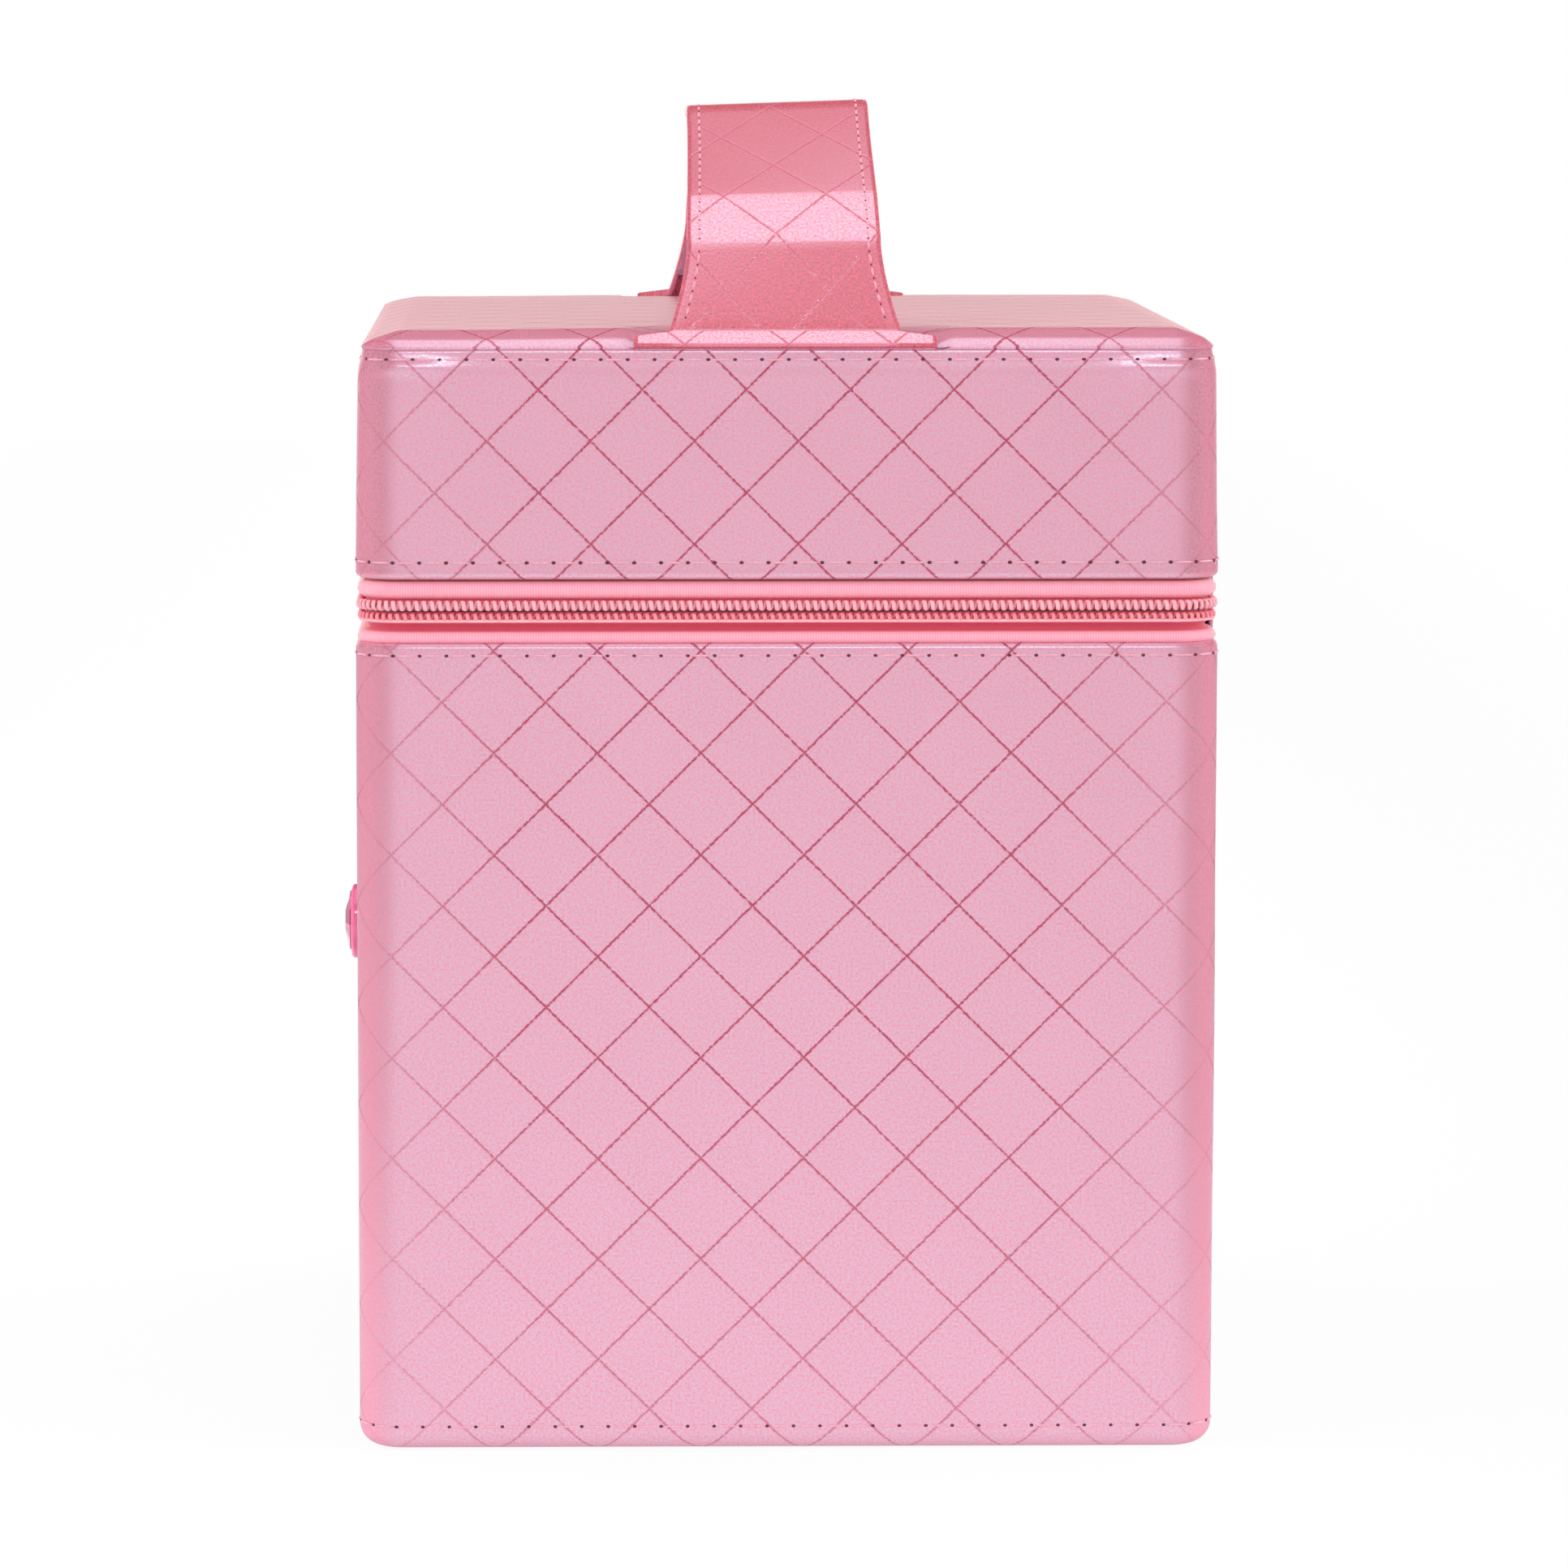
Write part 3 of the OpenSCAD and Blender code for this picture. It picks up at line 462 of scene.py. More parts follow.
def woven_tape(name, light, dark, groove_shade):
    """Polyester zip tape: a tight twill whose ribs run across it, a thread every 0.55 mm.

    A deeper red is painted as shade where the tape folds inwards, by the attribute "fold".
    """
    material, tree, _ = new_material(name)
    uv = add(tree, "UVMap", uv_map="UVMap")
    ribs = add(tree, "TexWave", {"Vector": uv, "Scale": 2 * math.pi / 20 / (0.55 * MM),
                                 "Distortion": 1.0, "Detail": 2.0}, out=1, bands_direction="X")
    mottle = add(tree, "TexNoise", {"Vector": uv, "Scale": 1 / (3.0 * MM), "Detail": 3.0,
                                    "Roughness": GRAININESS})
    shares = [add(tree, "Math", (part, 0.6), operation="MULTIPLY") for part in (ribs, mottle)]
    weave = add(tree, "Math", shares, operation="ADD")
    share = add(tree, "MapRange", (weave, 0.2, 0.9, 0.0, 1.0))
    colour = add(tree, "Mix", {0: share, 6: linear(dark), 7: linear(light)}, **COLOURS)
    fold = add(tree, "Attribute", out="Fac", attribute_name="fold")
    colour = add(tree, "Mix", {0: fold, 6: colour, 7: linear(groove_shade)}, **COLOURS)
    normal = add(tree, "Bump", {"Height": ribs, "Distance": 0.03 * MM, "Strength": 0.5})
    shader = add(tree, "BsdfPrincipled", {"Base Color": colour, "Roughness": 0.42,
                                          "Sheen Weight": 0.3, "Normal": normal})
    add(tree, "OutputMaterial", (shader,))
    return material


# the shifts lay the lattice where the near end shows it; the pillow's meets the lid's
quilted_skin = pearl_leathercloth("pearl_leathercloth_quilted", shift=(-17.35, 18.8))
pillow_skin = pearl_leathercloth("pearl_leathercloth_pillow", shift=(-18.65, 14.9))
plain_skin = pearl_leathercloth("pearl_leathercloth_plain", quilted=False)
# the third colour is painted shade in the tapes' grooves
zip_tape = woven_tape("polyester_zip_tape", "#FCAABC", "#F793A8", "#DC5069")
# nylon monofilament coil, dyed with the tape, a soft plastic gloss; the lower row lies
# deeper in the fold and is given a darker pink as painted shade
coil_nylon = plain_material("nylon_coil", "#F6A4B1", "#FAB9C4", 2.0, 0.3, 0.01)
shaded_nylon = plain_material("nylon_coil_painted_shade", "#EE818F", "#F89AA5", 2.0, 0.35, 0.01)
# polyester sewing thread; the strap is sewn with a brighter pink than the body
thread = plain_material("polyester_thread", "#DE93A9", "#EBB0C2", 0.6, 0.5, 0.05,
                        Sheen_Weight=0.2)
strap_thread = plain_material("polyester_thread_bright", "#F48DA2", "#FCA2B3", 0.6, 0.5, 0.05,
                              Sheen_Weight=0.2)
# the dark of the needle holes is painted shade in the holes
needle_hole_shade = plain_material("needle_hole_shade", "#5E1C33", "#7A2A42", 0.5, 0.8, 0.02)
# flocked velvet: short nylon fibres, so it is matt and pale along its edges
velvet = plain_material("flocked_velvet", "#EBCBD4", "#F7E3E8", 0.8, 0.9, 0.15,
                        Sheen_Weight=0.8, Sheen_Roughness=0.4)
# unbleached greyboard: pressed waste paper with visible fibres
greyboard = plain_material("greyboard", "#A2978C", "#C2B8AD", 1.2, 0.85, 0.08)
# board wrapped in blush paper, as drawer boxes of such cases are
paper_wrap = plain_material("blush_paper_wrap", "#EDB9C6", "#F5C9D4", 1.5, 0.6, 0.03)
beech_wood = beech("planed_beech")
foam = plain_material("polyurethane_foam", "#E8E0D2", "#F6F0E6", 0.9, 0.9, 0.3)
nickel = plain_material("nickel_plated_zinc", "#C9C5C3", "#D9D5D3", 8.0, 0.24, 0.01,
                        Metallic=1.0)
steel = plain_material("zinc_plated_steel", "#B4B2B0", "#C6C4C2", 1.0, 0.38, 0.02,
                       Metallic=1.0)
# float glass silvered behind; the share that isn't mirrored is its faint haze
silvered_glass = plain_material("silvered_glass", "#DCE3E8", "#E6ECEF", 40.0, 0.03, 0.0,
                                Metallic=0.35)
# sprayed enamel on a turned zinc knob
knob_enamel = plain_material("pink_enamel", "#F0659B", "#F67FAD", 5.0, 0.22, 0.01,
                             Coat_Weight=0.6)
# cast acrylic stone, foiled behind
cast_acrylic = plain_material("cast_acrylic_stone", "#C9487F", "#DB6496", 6.0, 0.08, 0.0,
                              Coat_Weight=1.0, Metallic=0.25)
webbing = plain_material("polypropylene_webbing", "#DCD3CA", "#EFE9E2", 0.7, 0.7, 0.12)


def dress(piece, material, body=None, replaced=()):
    """Gives a piece its material, its body and the CAD nodes it stands for."""
    piece.data.materials.clear()
    piece.data.materials.append(material)
    if body:
        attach(piece, body)
    if replaced:
        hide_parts(*replaced)
    return piece


CAD_FINISH = {
    "pearl_leathercloth": plain_skin, "greyboard": greyboard, "beech": beech_wood,
    "velvet_lining": velvet, "zip_tape": zip_tape, "zip_teeth": coil_nylon,
    "nickel_plate": nickel, "foam": foam, "mirror_glass": silvered_glass,
    "webbing": webbing, "knob_enamel": knob_enamel, "knob_stone": cast_acrylic,
    "zinc_steel": steel,
}
DRAWER_BOARDS = ("drawer_side_left", "drawer_side_right", "drawer_back", "drawer_bottom",
                 "drawer_front_board")


def finish_cad_nodes():
    """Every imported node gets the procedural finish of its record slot."""
    for row in frame["record"]["subparts"]:
        node = frame["nodes"][row["node"]]
        material = paper_wrap if row["node"] in DRAWER_BOARDS else CAD_FINISH[row["material_slot"]]
        node.data.materials.clear()
        node.data.materials.append(material)


# ---- covers of the body and the lid ------------------------------------------------------

def body_skin():
    """Sewn skin of the body.

    Its profile turns in over the board at the top, falls down the wall, rounds the bottom
    edge and runs under the base to the end of the hem. The drawer opening is left out of
    the front.
    """
    path, lengths = closed_path(breaks=(-OPEN_X, OPEN_X))
    wall_z = np.unique(np.round(np.append(np.arange(BASE_R, BODY_TOP - 1.4, 3.0), OPEN_Z), 2))
    wall_z = wall_z[::-1]
    profile = np.concatenate([
        [[2.2, BODY_TOP - 1.0], [1.8, BODY_TOP - 0.25]],
        arc(1.3, BODY_TOP - 1.3, 1.3, 90, 180, 6),
        np.stack([np.zeros_like(wall_z), wall_z], 1),
        arc(BASE_R, BASE_R, BASE_R, 180, 270, 8)[1:],
        np.stack([np.linspace(BASE_R + 2, HEM, 3), np.zeros(3)], 1)])
    points = swept(profile, path)
    v = -along(profile)                 # moved so that it equals z on the wall
    v += BODY_TOP - 20 - np.interp(20 - BODY_TOP, -profile[:, 1], v)
    lift = swell(lengths[:-1][:, None], profile[None, :, 1], BASE_R, BODY_TOP - 2, 0.10)
    flat = np.abs(path[1][:, None, :]).max(2) > 0.999
    points[..., :2] += path[1][:, None, :] * (lift * flat)[..., None]
    faces, _ = grid_faces(len(points), len(profile), wrap_rows=True)
    middle = points.reshape(-1, 3)[faces].mean(1)
    hole = ((middle[:, 1] < -HALF_D + CORNER_R / 2) & (np.abs(middle[:, 0]) < OPEN_X)
            & (middle[:, 2] > OPEN_Z[0]) & (middle[:, 2] < OPEN_Z[1]))
    piece = grid_piece("body_skin", points, lengths, v, wrap_rows=True, flip=True, keep=~hole)
    thicken(piece, 0.9)
    return dress(piece, quilted_skin, "case", ["body_cover"])


def seam_pull(y, z):
    """How far the seam round the lid top moves its skin outwards, in millimetres.

    It draws the last 5 mm in at the corners, and beside them the skin puckers into a soft
    ridge under the seam.
    """
    t = np.clip((z - SEAM_Z + 5.7) / 5.5, 0, 1)
    drawn = CORNER_PULL * t ** 2 * smooth_step((np.abs(y) - 52) / 22)
    beside = smooth_step((np.abs(y) - 66) / 5) * smooth_step((83.5 - np.abs(y)) / 4)
    return PUCKER * beside * np.exp(-((z - SEAM_Z + 3.4) / 1.4) ** 2) - drawn


def lid_skin():
    """Band of skin round the lid.

    It turns in at the bottom fold, rises with a slight lean and pulls in to the edge seam.
    """
    path, lengths = closed_path()
    top = SEAM_Z - 0.2
    wall_z = np.append(np.linspace(LID_Z0 + 1.4, top - 8, 18), np.linspace(top - 7.5, top, 16))
    t = (wall_z - LID_Z0) / (top - LID_Z0)
    pull = 0.75 * t + 0.55 * smooth_step((t - 0.89) / 0.11)
    profile = np.concatenate([
        [[2.2, LID_Z0 + 1.0], [1.8, LID_Z0 + 0.25]],
        arc(1.3, LID_Z0 + 1.3, 1.3, 270, 180, 6),
        np.stack([pull, wall_z], 1),
        [[pull[-1] + 0.35, top + 0.25], [pull[-1] + 1.2, top + 0.1]]])
    points = swept(profile, path)
    lift = swell(lengths[:-1][:, None] + 40, profile[None, :, 1], LID_Z0, top, 0.08)
    lift = lift + seam_pull(points[..., 1], profile[None, :, 1])
    points[..., :2] += path[1][:, None, :] * lift[..., None]
    v = along(profile)                  # moved so that it equals z on the wall
    v += LID_Z0 + 20 - np.interp(LID_Z0 + 20, profile[8:-2, 1], v[8:-2])
    piece = grid_piece("lid_skin", points, lengths + LID_CLOTH[0], v + LID_CLOTH[1],
                       wrap_rows=True)
    thicken(piece, 0.9)
    return dress(piece, quilted_skin, "lid", ["lid_cover"])


def pillow_height(inset, x, y):
    """Height of the padded top above the lid's flat, at a distance inside the lid's edge.

    The least of a 42 degree ramp, a 19 degree shoulder and a slow crown, blended over k.
    The stuffing is fuller towards the +X end and thinner towards the drawer side, as the
    photograph shows, and the strap's feet press it down.
    """
    k = 0.16
    slopes = (0.9 * inset - 1.7, 0.35 * inset - 0.05,
              3.0 + 0.35 * smooth_step((inset - 5) / 45))
    height = -k * np.log(sum(np.exp(-slope / k) for slope in slopes))
    fuller = 0.80 + 0.22 * np.clip(x / HALF_L, -1, 1)
    end = HALF_L - np.abs(x)
    press = smooth_step((FOOT_W / 2 + 2.5 - np.abs(y)) / 3) * np.exp(-(end / 13.0) ** 4)
    fuller = fuller * (1 - 0.11 * smooth_step((-y - 25) / 45))
    return (height + 1) * fuller - 1 - 1.0 * press * smooth_step((inset - 0.5) / 1.5)


def lid_pillow():
    """Padded top of the lid, cover and foam in one closed form.

    Its edge rolls over from the seam; the rings inside keep their distance from the edge
    up to the corner radius and then shrink towards the centre. The underside is flat.
    """
    path, _ = closed_path(step=2.5)
    lip = np.array([[4.5, -2.4], [2.2, -1.5], [1.5, -1.0], [1.32, -0.65]])
    ramp = np.linspace(1.4, 8.9, 20)
    rolled = swept(np.concatenate([lip, np.stack([ramp, 0 * ramp], 1)]), path)
    rolled[..., 2] += LID_TOP
    rolled[:, 4:, 2] += pillow_height(ramp[None], rolled[:, 4:, 0], rolled[:, 4:, 1])
    rim = rolled[:, -1, :2]
    scale = np.concatenate([np.linspace(0.99, 0.7, 20), np.linspace(0.7, 0.02, 26)[1:]])
    xy = rim[:, None, :] * scale[None, :, None]
    inset = ramp[-1] + (1 - scale) * (HALF_D - ramp[-1])
    z = LID_TOP + pillow_height(inset[None], xy[..., 0], xy[..., 1])
    under = np.concatenate([rim * 0.02, np.full((len(rim), 1), LID_TOP - 2.4)], 1)[:, None]
    points = np.concatenate([under, rolled, np.concatenate([xy, z[..., None]], 2)], 1)
    piece = domed_piece("lid_pillow", points, 1, 0)
    dress(piece, pillow_skin, "lid", ["lid_top_cover", "lid_padding"])
    return piece


# ---- stitches ----------------------------------------------------------------------------

def stitch_shape(length, width, height):
    """One stitch: a closed lozenge of thread whose ends dive into the cloth."""
    t = np.linspace(-1, 1, 6)[:, None]
    a = (np.arange(6) * math.pi / 3)[None]
    round_off = np.sqrt(1 - t ** 2 * 0.92)
    points = np.stack([np.repeat(t * length / 2, 6, 1), round_off * np.cos(a) * width / 2,
                       round_off * np.sin(a) * height - 0.12 * t ** 4], 2).reshape(-1, 3)
    ends = np.array([[0, 1, 2, 3], [0, 3, 4, 5], [30, 33, 32, 31], [30, 35, 34, 33]])
    return points, np.concatenate([grid_faces(6, 6, wrap_cols=True, flip=True)[0], ends])


def hole_shape(r):
    """A needle hole: a small eight-sided lens, half sunk in the cloth, dark as painted shade."""
    a = np.arange(8) * math.pi / 4
    rim = np.stack([r * np.cos(a), 0.8 * r * np.sin(a), np.full(8, -0.04)], 1)
    points = np.concatenate([rim, rim * [0.6, 0.6, 0] + [0, 0, 0.06]])
    i = np.arange(8)
    sides = np.stack([i, (i + 1) % 8, 8 + (i + 1) % 8, 8 + i], 1)
    cap = np.array([[8, 9, 10, 11], [8, 11, 12, 15], [12, 13, 14, 15]])
    return points, np.concatenate([sides, cap, cap[:, ::-1] - 8])


def frames_on(tangent, normal):
    """Axes for copies: x along the seam, z out of the cloth."""
    tangent = tangent / np.linalg.norm(tangent, axis=1)[:, None]
    side = np.cross(normal, tangent)
    return np.stack([tangent, side, normal], 1)


def sewn_row(name, line, normal, body, pitch=STITCH, closed=True, width=0.5, hole=0.45,
             yarn=None):
    """A row of stitches along a line of points with their outward normals, and its holes."""
    run = along(line)
    count = round(run[-1] / pitch)
    spots = (np.arange(count) + 0.5) * run[-1] / count
    ends = np.arange(count + (0 if closed else 1)) * run[-1] / count

    def at(values):
        """Places and axes of the copies at the given running lengths."""
        ahead = sample(np.minimum(values + 0.4, run[-1]), run, line)
        behind = sample(np.maximum(values - 0.4, 0), run, line)
        n = sample(values, run, normal)
        n /= np.linalg.norm(n, axis=1)[:, None]
        return sample(values, run, line), frames_on(ahead - behind, n)

    shape, faces = stitch_shape(run[-1] / count - 1.1, width, 0.22)
    points, all_faces = copies(shape, faces, *at(spots))
    dress(mesh_piece(name + "_thread", points, all_faces), yarn or thread,
          body)
    shape, faces = hole_shape(hole)
    points, all_faces = copies(shape, faces, *at(ends))
    dress(mesh_piece(name + "_holes", points, all_faces), needle_hole_shade,
          body)


def seam_round(name, z, body, inset=0.0):
    """A row of stitches round the case at one height. It follows the pull of the lid's seam."""
    path = outline(step=2.0)
    line = swept(np.array([[inset - 0.02, z]]), path)[:, 0]
    line[:, :2] += path[1] * seam_pull(line[:, 1], z)[:, None]
    normal = np.concatenate([path[1], np.zeros((len(line), 1))], 1)
    sewn_row(name, line, normal, body)


# ---- zip ---------------------------------------------------------------------------------

# The tapes as (inset, height above the zip's middle), from bottom to top: each bulges out
# of its seam and dips into a groove before its coil.
LOW_TAPE = ((1.9, -6.9), (1.0, -6.4), (0.4, -5.7), (0.4, -4.9), (1.0, -4.3),
            (2.3, -3.9), (2.7, -3.2), (2.2, -2.6), (1.9, -1.8), (1.85, -0.2))
HIGH_TAPE = ((1.85, 0.2), (1.9, 1.6), (2.2, 2.2), (1.3, 2.7), (0.6, 3.3), (0.35, 4.0),
             (0.5, 4.9), (1.1, 5.5), (2.1, 6.2))


def zip_run():
    """The open stretch of the outline that the zip follows, from one rear tail to the other."""
    centres, outward, lengths = outline(step=2.0, corner_steps=14)
    edge = centres + CORNER_R * outward
    inside = (edge[:, 1] < HALF_D - 0.5) | (np.abs(edge[:, 0]) > TAPE_END_X)
    return centres[inside], outward[inside], lengths[inside]


def tape(name, profile, body, node):
    """One zip tape: its profile, smoothed, carried along the zip's run.

    The attribute "fold" grows from 0 to 1 with the depth of the groove; it marks painted shade.
    """
    path = zip_run()
    fine = np.linspace(0, len(profile) - 1, 3 * len(profile) - 2)
    line = sample(fine, np.arange(len(profile)), np.array(profile))
    line[1:-1] = (line[:-2] + 2 * line[1:-1] + line[2:]) / 4
    points = swept(line + [0, ZIP_Z], path)
    piece = grid_piece(name, points, path[2], along(line))
    fold = piece.data.attributes.new("fold", "FLOAT", "POINT")
    depth = np.tile(smooth_step((line[:, 0] - 1.2) / 0.7), len(points))
    fold.data.foreach_set("value", depth.astype(np.float32))
    thicken(piece, 0.5)
    return dress(piece, zip_tape, body, [node])


def cord_line(name, z, depth, radius, body, material):
    """A smooth round edge cord that runs along the zip at one height."""
    centres, outward, _ = zip_run()
    a = np.arange(6) * math.pi / 3
    reach = CORNER_R - depth + radius * np.cos(a)
    xy = centres[:, None] + outward[:, None] * reach[None, :, None]
    height = np.broadcast_to(ZIP_Z + z + radius * np.sin(a), xy.shape[:2])
    piece = capped_piece(name, np.concatenate([xy, height[..., None]], 2))
    return dress(piece, material, body)


def coil(name, z0, phase, body, node, material, depth0=0.85, half=0.85):
    """A spiral zip coil: a flattened helix of nylon round the tape's edge.

    At turn t it lies at run = pitch * t along the outline, with height z0 + half * cos and
    depth depth0 - 0.5 * sin of the turn's angle. It gains way mostly behind, so the turns
    stand upright in front. The wire is a six-sided tube, wider along the zip.
    """
    centres, outward, lengths = zip_run()
    s_from = lengths[0] + 1
    turns = int((lengths[-1] - 1 - s_from) / COIL_PITCH)
    t = np.arange(turns * 10 + 1) / 10
    angle = 2 * math.pi * t
    s = s_from + (t + phase + 0.8 * np.cos(angle) / (2 * math.pi)) * COIL_PITCH
    c, n = sample(s, lengths, centres), sample(s, lengths, outward)
    n /= np.linalg.norm(n, axis=1)[:, None]
    depth = depth0 - 0.5 * np.sin(angle)
    z = z0 + half * np.cos(angle)
    line = np.concatenate([c + n * (CORNER_R - depth)[:, None], z[:, None]], 1)
    tangent = np.gradient(line, axis=0)
    tangent /= np.linalg.norm(tangent, axis=1)[:, None]
    along_run = np.stack([-n[:, 1], n[:, 0], np.zeros(len(n))], 1)
    side = np.cross(tangent, along_run)
    side /= np.linalg.norm(side, axis=1)[:, None]
    up = np.cross(side, tangent)
    a = np.arange(6) * math.pi / 3
    wire = (0.3 * np.cos(a)[None, :, None] * side[:, None]
            + 0.45 * np.sin(a)[None, :, None] * up[:, None])
    piece = capped_piece(name, line[:, None] + wire)
    return dress(piece, material, body, [node])


def hinge_strip():
    """One strip of skin over the hinge line, with a shallow fold in its middle."""
    x = np.linspace(-TAPE_END_X, TAPE_END_X, 60)
    z = np.linspace(BODY_TOP - 0.2, LID_Z0 + 0.2, 25)
    t = (z - ZIP_Z) / (LID_Z0 - ZIP_Z)
    y = HALF_D - 0.15 - 0.5 * np.exp(-(t / 0.16) ** 2) - 0.35 * t ** 6
    points = np.stack(np.broadcast_arrays(x[:, None], y, z), 2)
    piece = grid_piece("hinge_strip", points, x, z, flip=True)
    thicken(piece, 0.8)
    apply_modifiers(piece)
    dress(piece, quilted_skin)
    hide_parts("hinge_strip_lower", "hinge_strip_upper")
    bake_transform(piece)
    return piece


def apply_modifiers(piece):
    """Bakes a piece's modifiers into its mesh."""
    evaluated = piece.evaluated_get(bpy.context.evaluated_depsgraph_get())
    mesh = bpy.data.meshes.new_from_object(evaluated)
    piece.modifiers.clear()
    piece.data = mesh


# ---- strap -------------------------------------------------------------------------------

FOLD_Z = LID_TOP + 2.4              # the strap leaves the lid
FLARE_Z = FOLD_Z + 17               # its feet flare below this height
STRAP_STRETCH = 1.25                # the quilting is drawn out along the strap
LEAN = 0.034                        # slope of its worn crest, 2 degrees
SWAY = 2.7                          # its far half has moved towards the hinge
SAG = 1.7                           # and hangs lower
OFF_MIDDLE = 0.6                    # the whole strap stands nearer the drawer side


def unit(v):
    """A vector's direction, at length 1."""
    return v / np.linalg.norm(v)


def bend(a, b, c, d):
    """Points that round off the corner b of a-b-c over a distance d, on a parabola."""
    t = np.linspace(0, 1, 6)[:, None]
    start, end = b + d * unit(a - b), b + d * unit(c - b)
    return (1 - t) ** 2 * start + 2 * t * (1 - t) * b + t ** 2 * end


def upward(line):
    """Unit normals of a line in the X-Z plane, on the side away from the lid."""
    tangent = np.gradient(line, axis=0)
    normal = np.stack([tangent[:, 1], -tangent[:, 0]], 1)
    return normal / np.linalg.norm(normal, axis=1)[:, None]


def strap_line():
    """Underside of the strap's leathercloth in the X-Z plane, from the +X seam to the -X seam.

    The foot lies on the pressed ramp of the pillow. The legs have three kinks, and the worn
    strap sags in its far half.
    """
    rise = strap_hi[2] - 1.0 - LID_TOP
    foot = np.array([[1.5, -1.1], [2.6, 0.0], [3.6, 0.95], [4.6, 1.9]]) * [-1, 1]
    foot += [HALF_L, LID_TOP]
    kink_a = np.array([HALF_L - 15, LID_TOP + 0.44 * rise])
    kink_b = np.array([HALF_L - 26, LID_TOP + 0.61 * rise])
    kink_c = np.array([HALF_L - 62, LID_TOP + rise + 0.2])
    crest = np.array([0, LID_TOP + rise - 1.0])
    half = np.concatenate([foot, bend(foot[-1], kink_a, kink_b, 1.0),
                           bend(kink_a, kink_b, kink_c, 1.2), bend(kink_b, kink_c, crest, 3)])
    back = half[::-1] * [-1, 1]
    back[:, 1] -= SAG * smooth_step((back[:, 1] - LID_TOP - 20) / 25)
    line = np.concatenate([half, [crest], back])
    run = along(line)
    s = np.union1d(run, np.arange(0, run[-1], 2.5))
    return sample(s, run, line), s


def strap_half_width(z):
    """Half the strap's width at a height.

    As wide as its foot below the fold, flared up to the flare's height, and worn a little
    narrower towards the crest.
    """
    flare = STRAP_W / 2 + 3.8 * np.clip((FLARE_Z - z) / (FLARE_Z - FOLD_Z), 0, 1) ** 1.5
    return np.where(z < FOLD_Z, FOOT_W / 2, flare - 0.7 * smooth_step((z - FLARE_Z) / 24))


def strap_section(t0, t1):
    """Section of a flat layer as (share of the half width, mm inwards from it, height)."""
    w = np.linspace(-1, 1, 15)
    top = np.stack([w, 0 * w, 0 * w + t1], 1)
    under = np.stack([w[::-1], 0 * w, 0 * w + t0], 1)
    return np.concatenate([top, under])


def wrapped_section():
    """Section of the cover: flat on top, rolled round both edges and turned under the webbing."""
    w = np.linspace(-1, 1, 13)[1:-1]
    roll = np.array([[-1, 1.1, -1.25], [-1, 0.3, -1.2], [-1, 0.0, -0.8], [-1, 0.0, 0.5],
                     [-1, 0.3, 0.9], [-1, 1.0, 1.0]])
    top = np.stack([w, 0 * w, 0 * w + 1.0], 1)
    inside = np.stack([w[::-1], 0 * w, 0 * w], 1)
    mirror = [-1, 1, 1]
    return np.concatenate([roll, top, (roll * mirror)[::-1], [[1, 1.1, 0.0]], inside,
                           [[-1, 1.1, 0.0]]])


def strap_layer(name, section, material, replaced, cut_z=None, narrower=0.0):
    """A layer of the strap: a section carried along its line, with both ends closed."""
    line, s = strap_line()
    normal = upward(line)
    if cut_z is not None:
        inside = line[:, 1] > cut_z
        line, s, normal = line[inside], s[inside], normal[inside]
    half = strap_half_width(line[:, 1] + 0.5)[:, None] - narrower
    share, inwards, height = section.T
    y = share * half - np.sign(share) * inwards
    x = line[:, :1] + normal[:, :1] * height
    z = line[:, 1:] + normal[:, 1:] * height
    points = np.stack([x, y, z + lean(y, z)], 2)
    points[..., 1] += sway(x)
    width_at = np.concatenate([y, y[:, :1]], 1)
    feet = line[:, 1] < FOLD_Z - 0.4
    run = (s - s[len(s) // 2]) / np.where(feet, 1.0, STRAP_STRETCH)
    uv = np.stack([width_at, np.broadcast_to(run[:, None], width_at.shape)], 2)
    uv[feet] += [-2.1, 3.0]
    piece = capped_piece(name, points, uv, flip=True)
    return dress(piece, material, "lid", replaced)


def lean(y, z):
    """How far the worn strap leans: its crest is out of level, its feet are flat."""
    return LEAN * y * smooth_step((z - FOLD_Z) / 40)


def sway(x):
    """How far the worn strap has moved towards the hinge."""
    return SWAY * smooth_step((30 - x) / 100) - OFF_MIDDLE


def strap():
    """The strap: cover with its feet, webbing, lining, and a row of stitches at each edge.

    Its quilting lines are thin and near the film's own pink, so they show most where the
    pearl is lit. A crossing of the lines lies at the lower kink.
    """
    line, s = strap_line()
    kink = s[np.argmin(np.abs(line[:, 1] - line[0, 1] - 21.6) + (line[:, 0] < 0) * 100)]
    # the strap's crest is given #DD6677 as painted shade
    strap_skin = pearl_leathercloth("pearl_leathercloth_strap", film=("#F17083", "#EC6C7F"),
                                    groove="#C9667C", pearl_top=0.51, gloss=0.17,
                                    line=0.32, crest_shade="#DD6677",
                                    shift=(-1.5, (kink - s[len(s) // 2]) / STRAP_STRETCH))
    leg_z = FOLD_Z + 2.5
    strap_layer("strap_cover", wrapped_section(), strap_skin, ["handle_cover"])
    strap_layer("strap_core", strap_section(-1.2, 0.0), webbing, ["handle_core"], leg_z, 0.4)
    strap_layer("strap_lining", strap_section(-2.2, -1.25), plain_skin, ["handle_lining"],
                leg_z, 0.5)
    normal = upward(line)
    inside = line[:, 1] > FOLD_Z + 2
    line, normal = line[inside] + 1.0 * normal[inside], normal[inside]
    normal3 = np.stack([normal[:, 0], np.zeros(len(line)), normal[:, 1]], 1)
    for side, name in ((-1, "strap_seam_left"), (1, "strap_seam_right")):
        y = side * (strap_half_width(line[:, 1]) - 2.5)
        points = np.stack([line[:, 0], y + sway(line[:, 0]), line[:, 1] + lean(y, line[:, 1])], 1)
        sewn_row(name, points, normal3, "lid", pitch=3.0, closed=False, width=0.55, hole=0.3,
                 yarn=strap_thread)


# ---- drawer front ------------------------------------------------------------------------

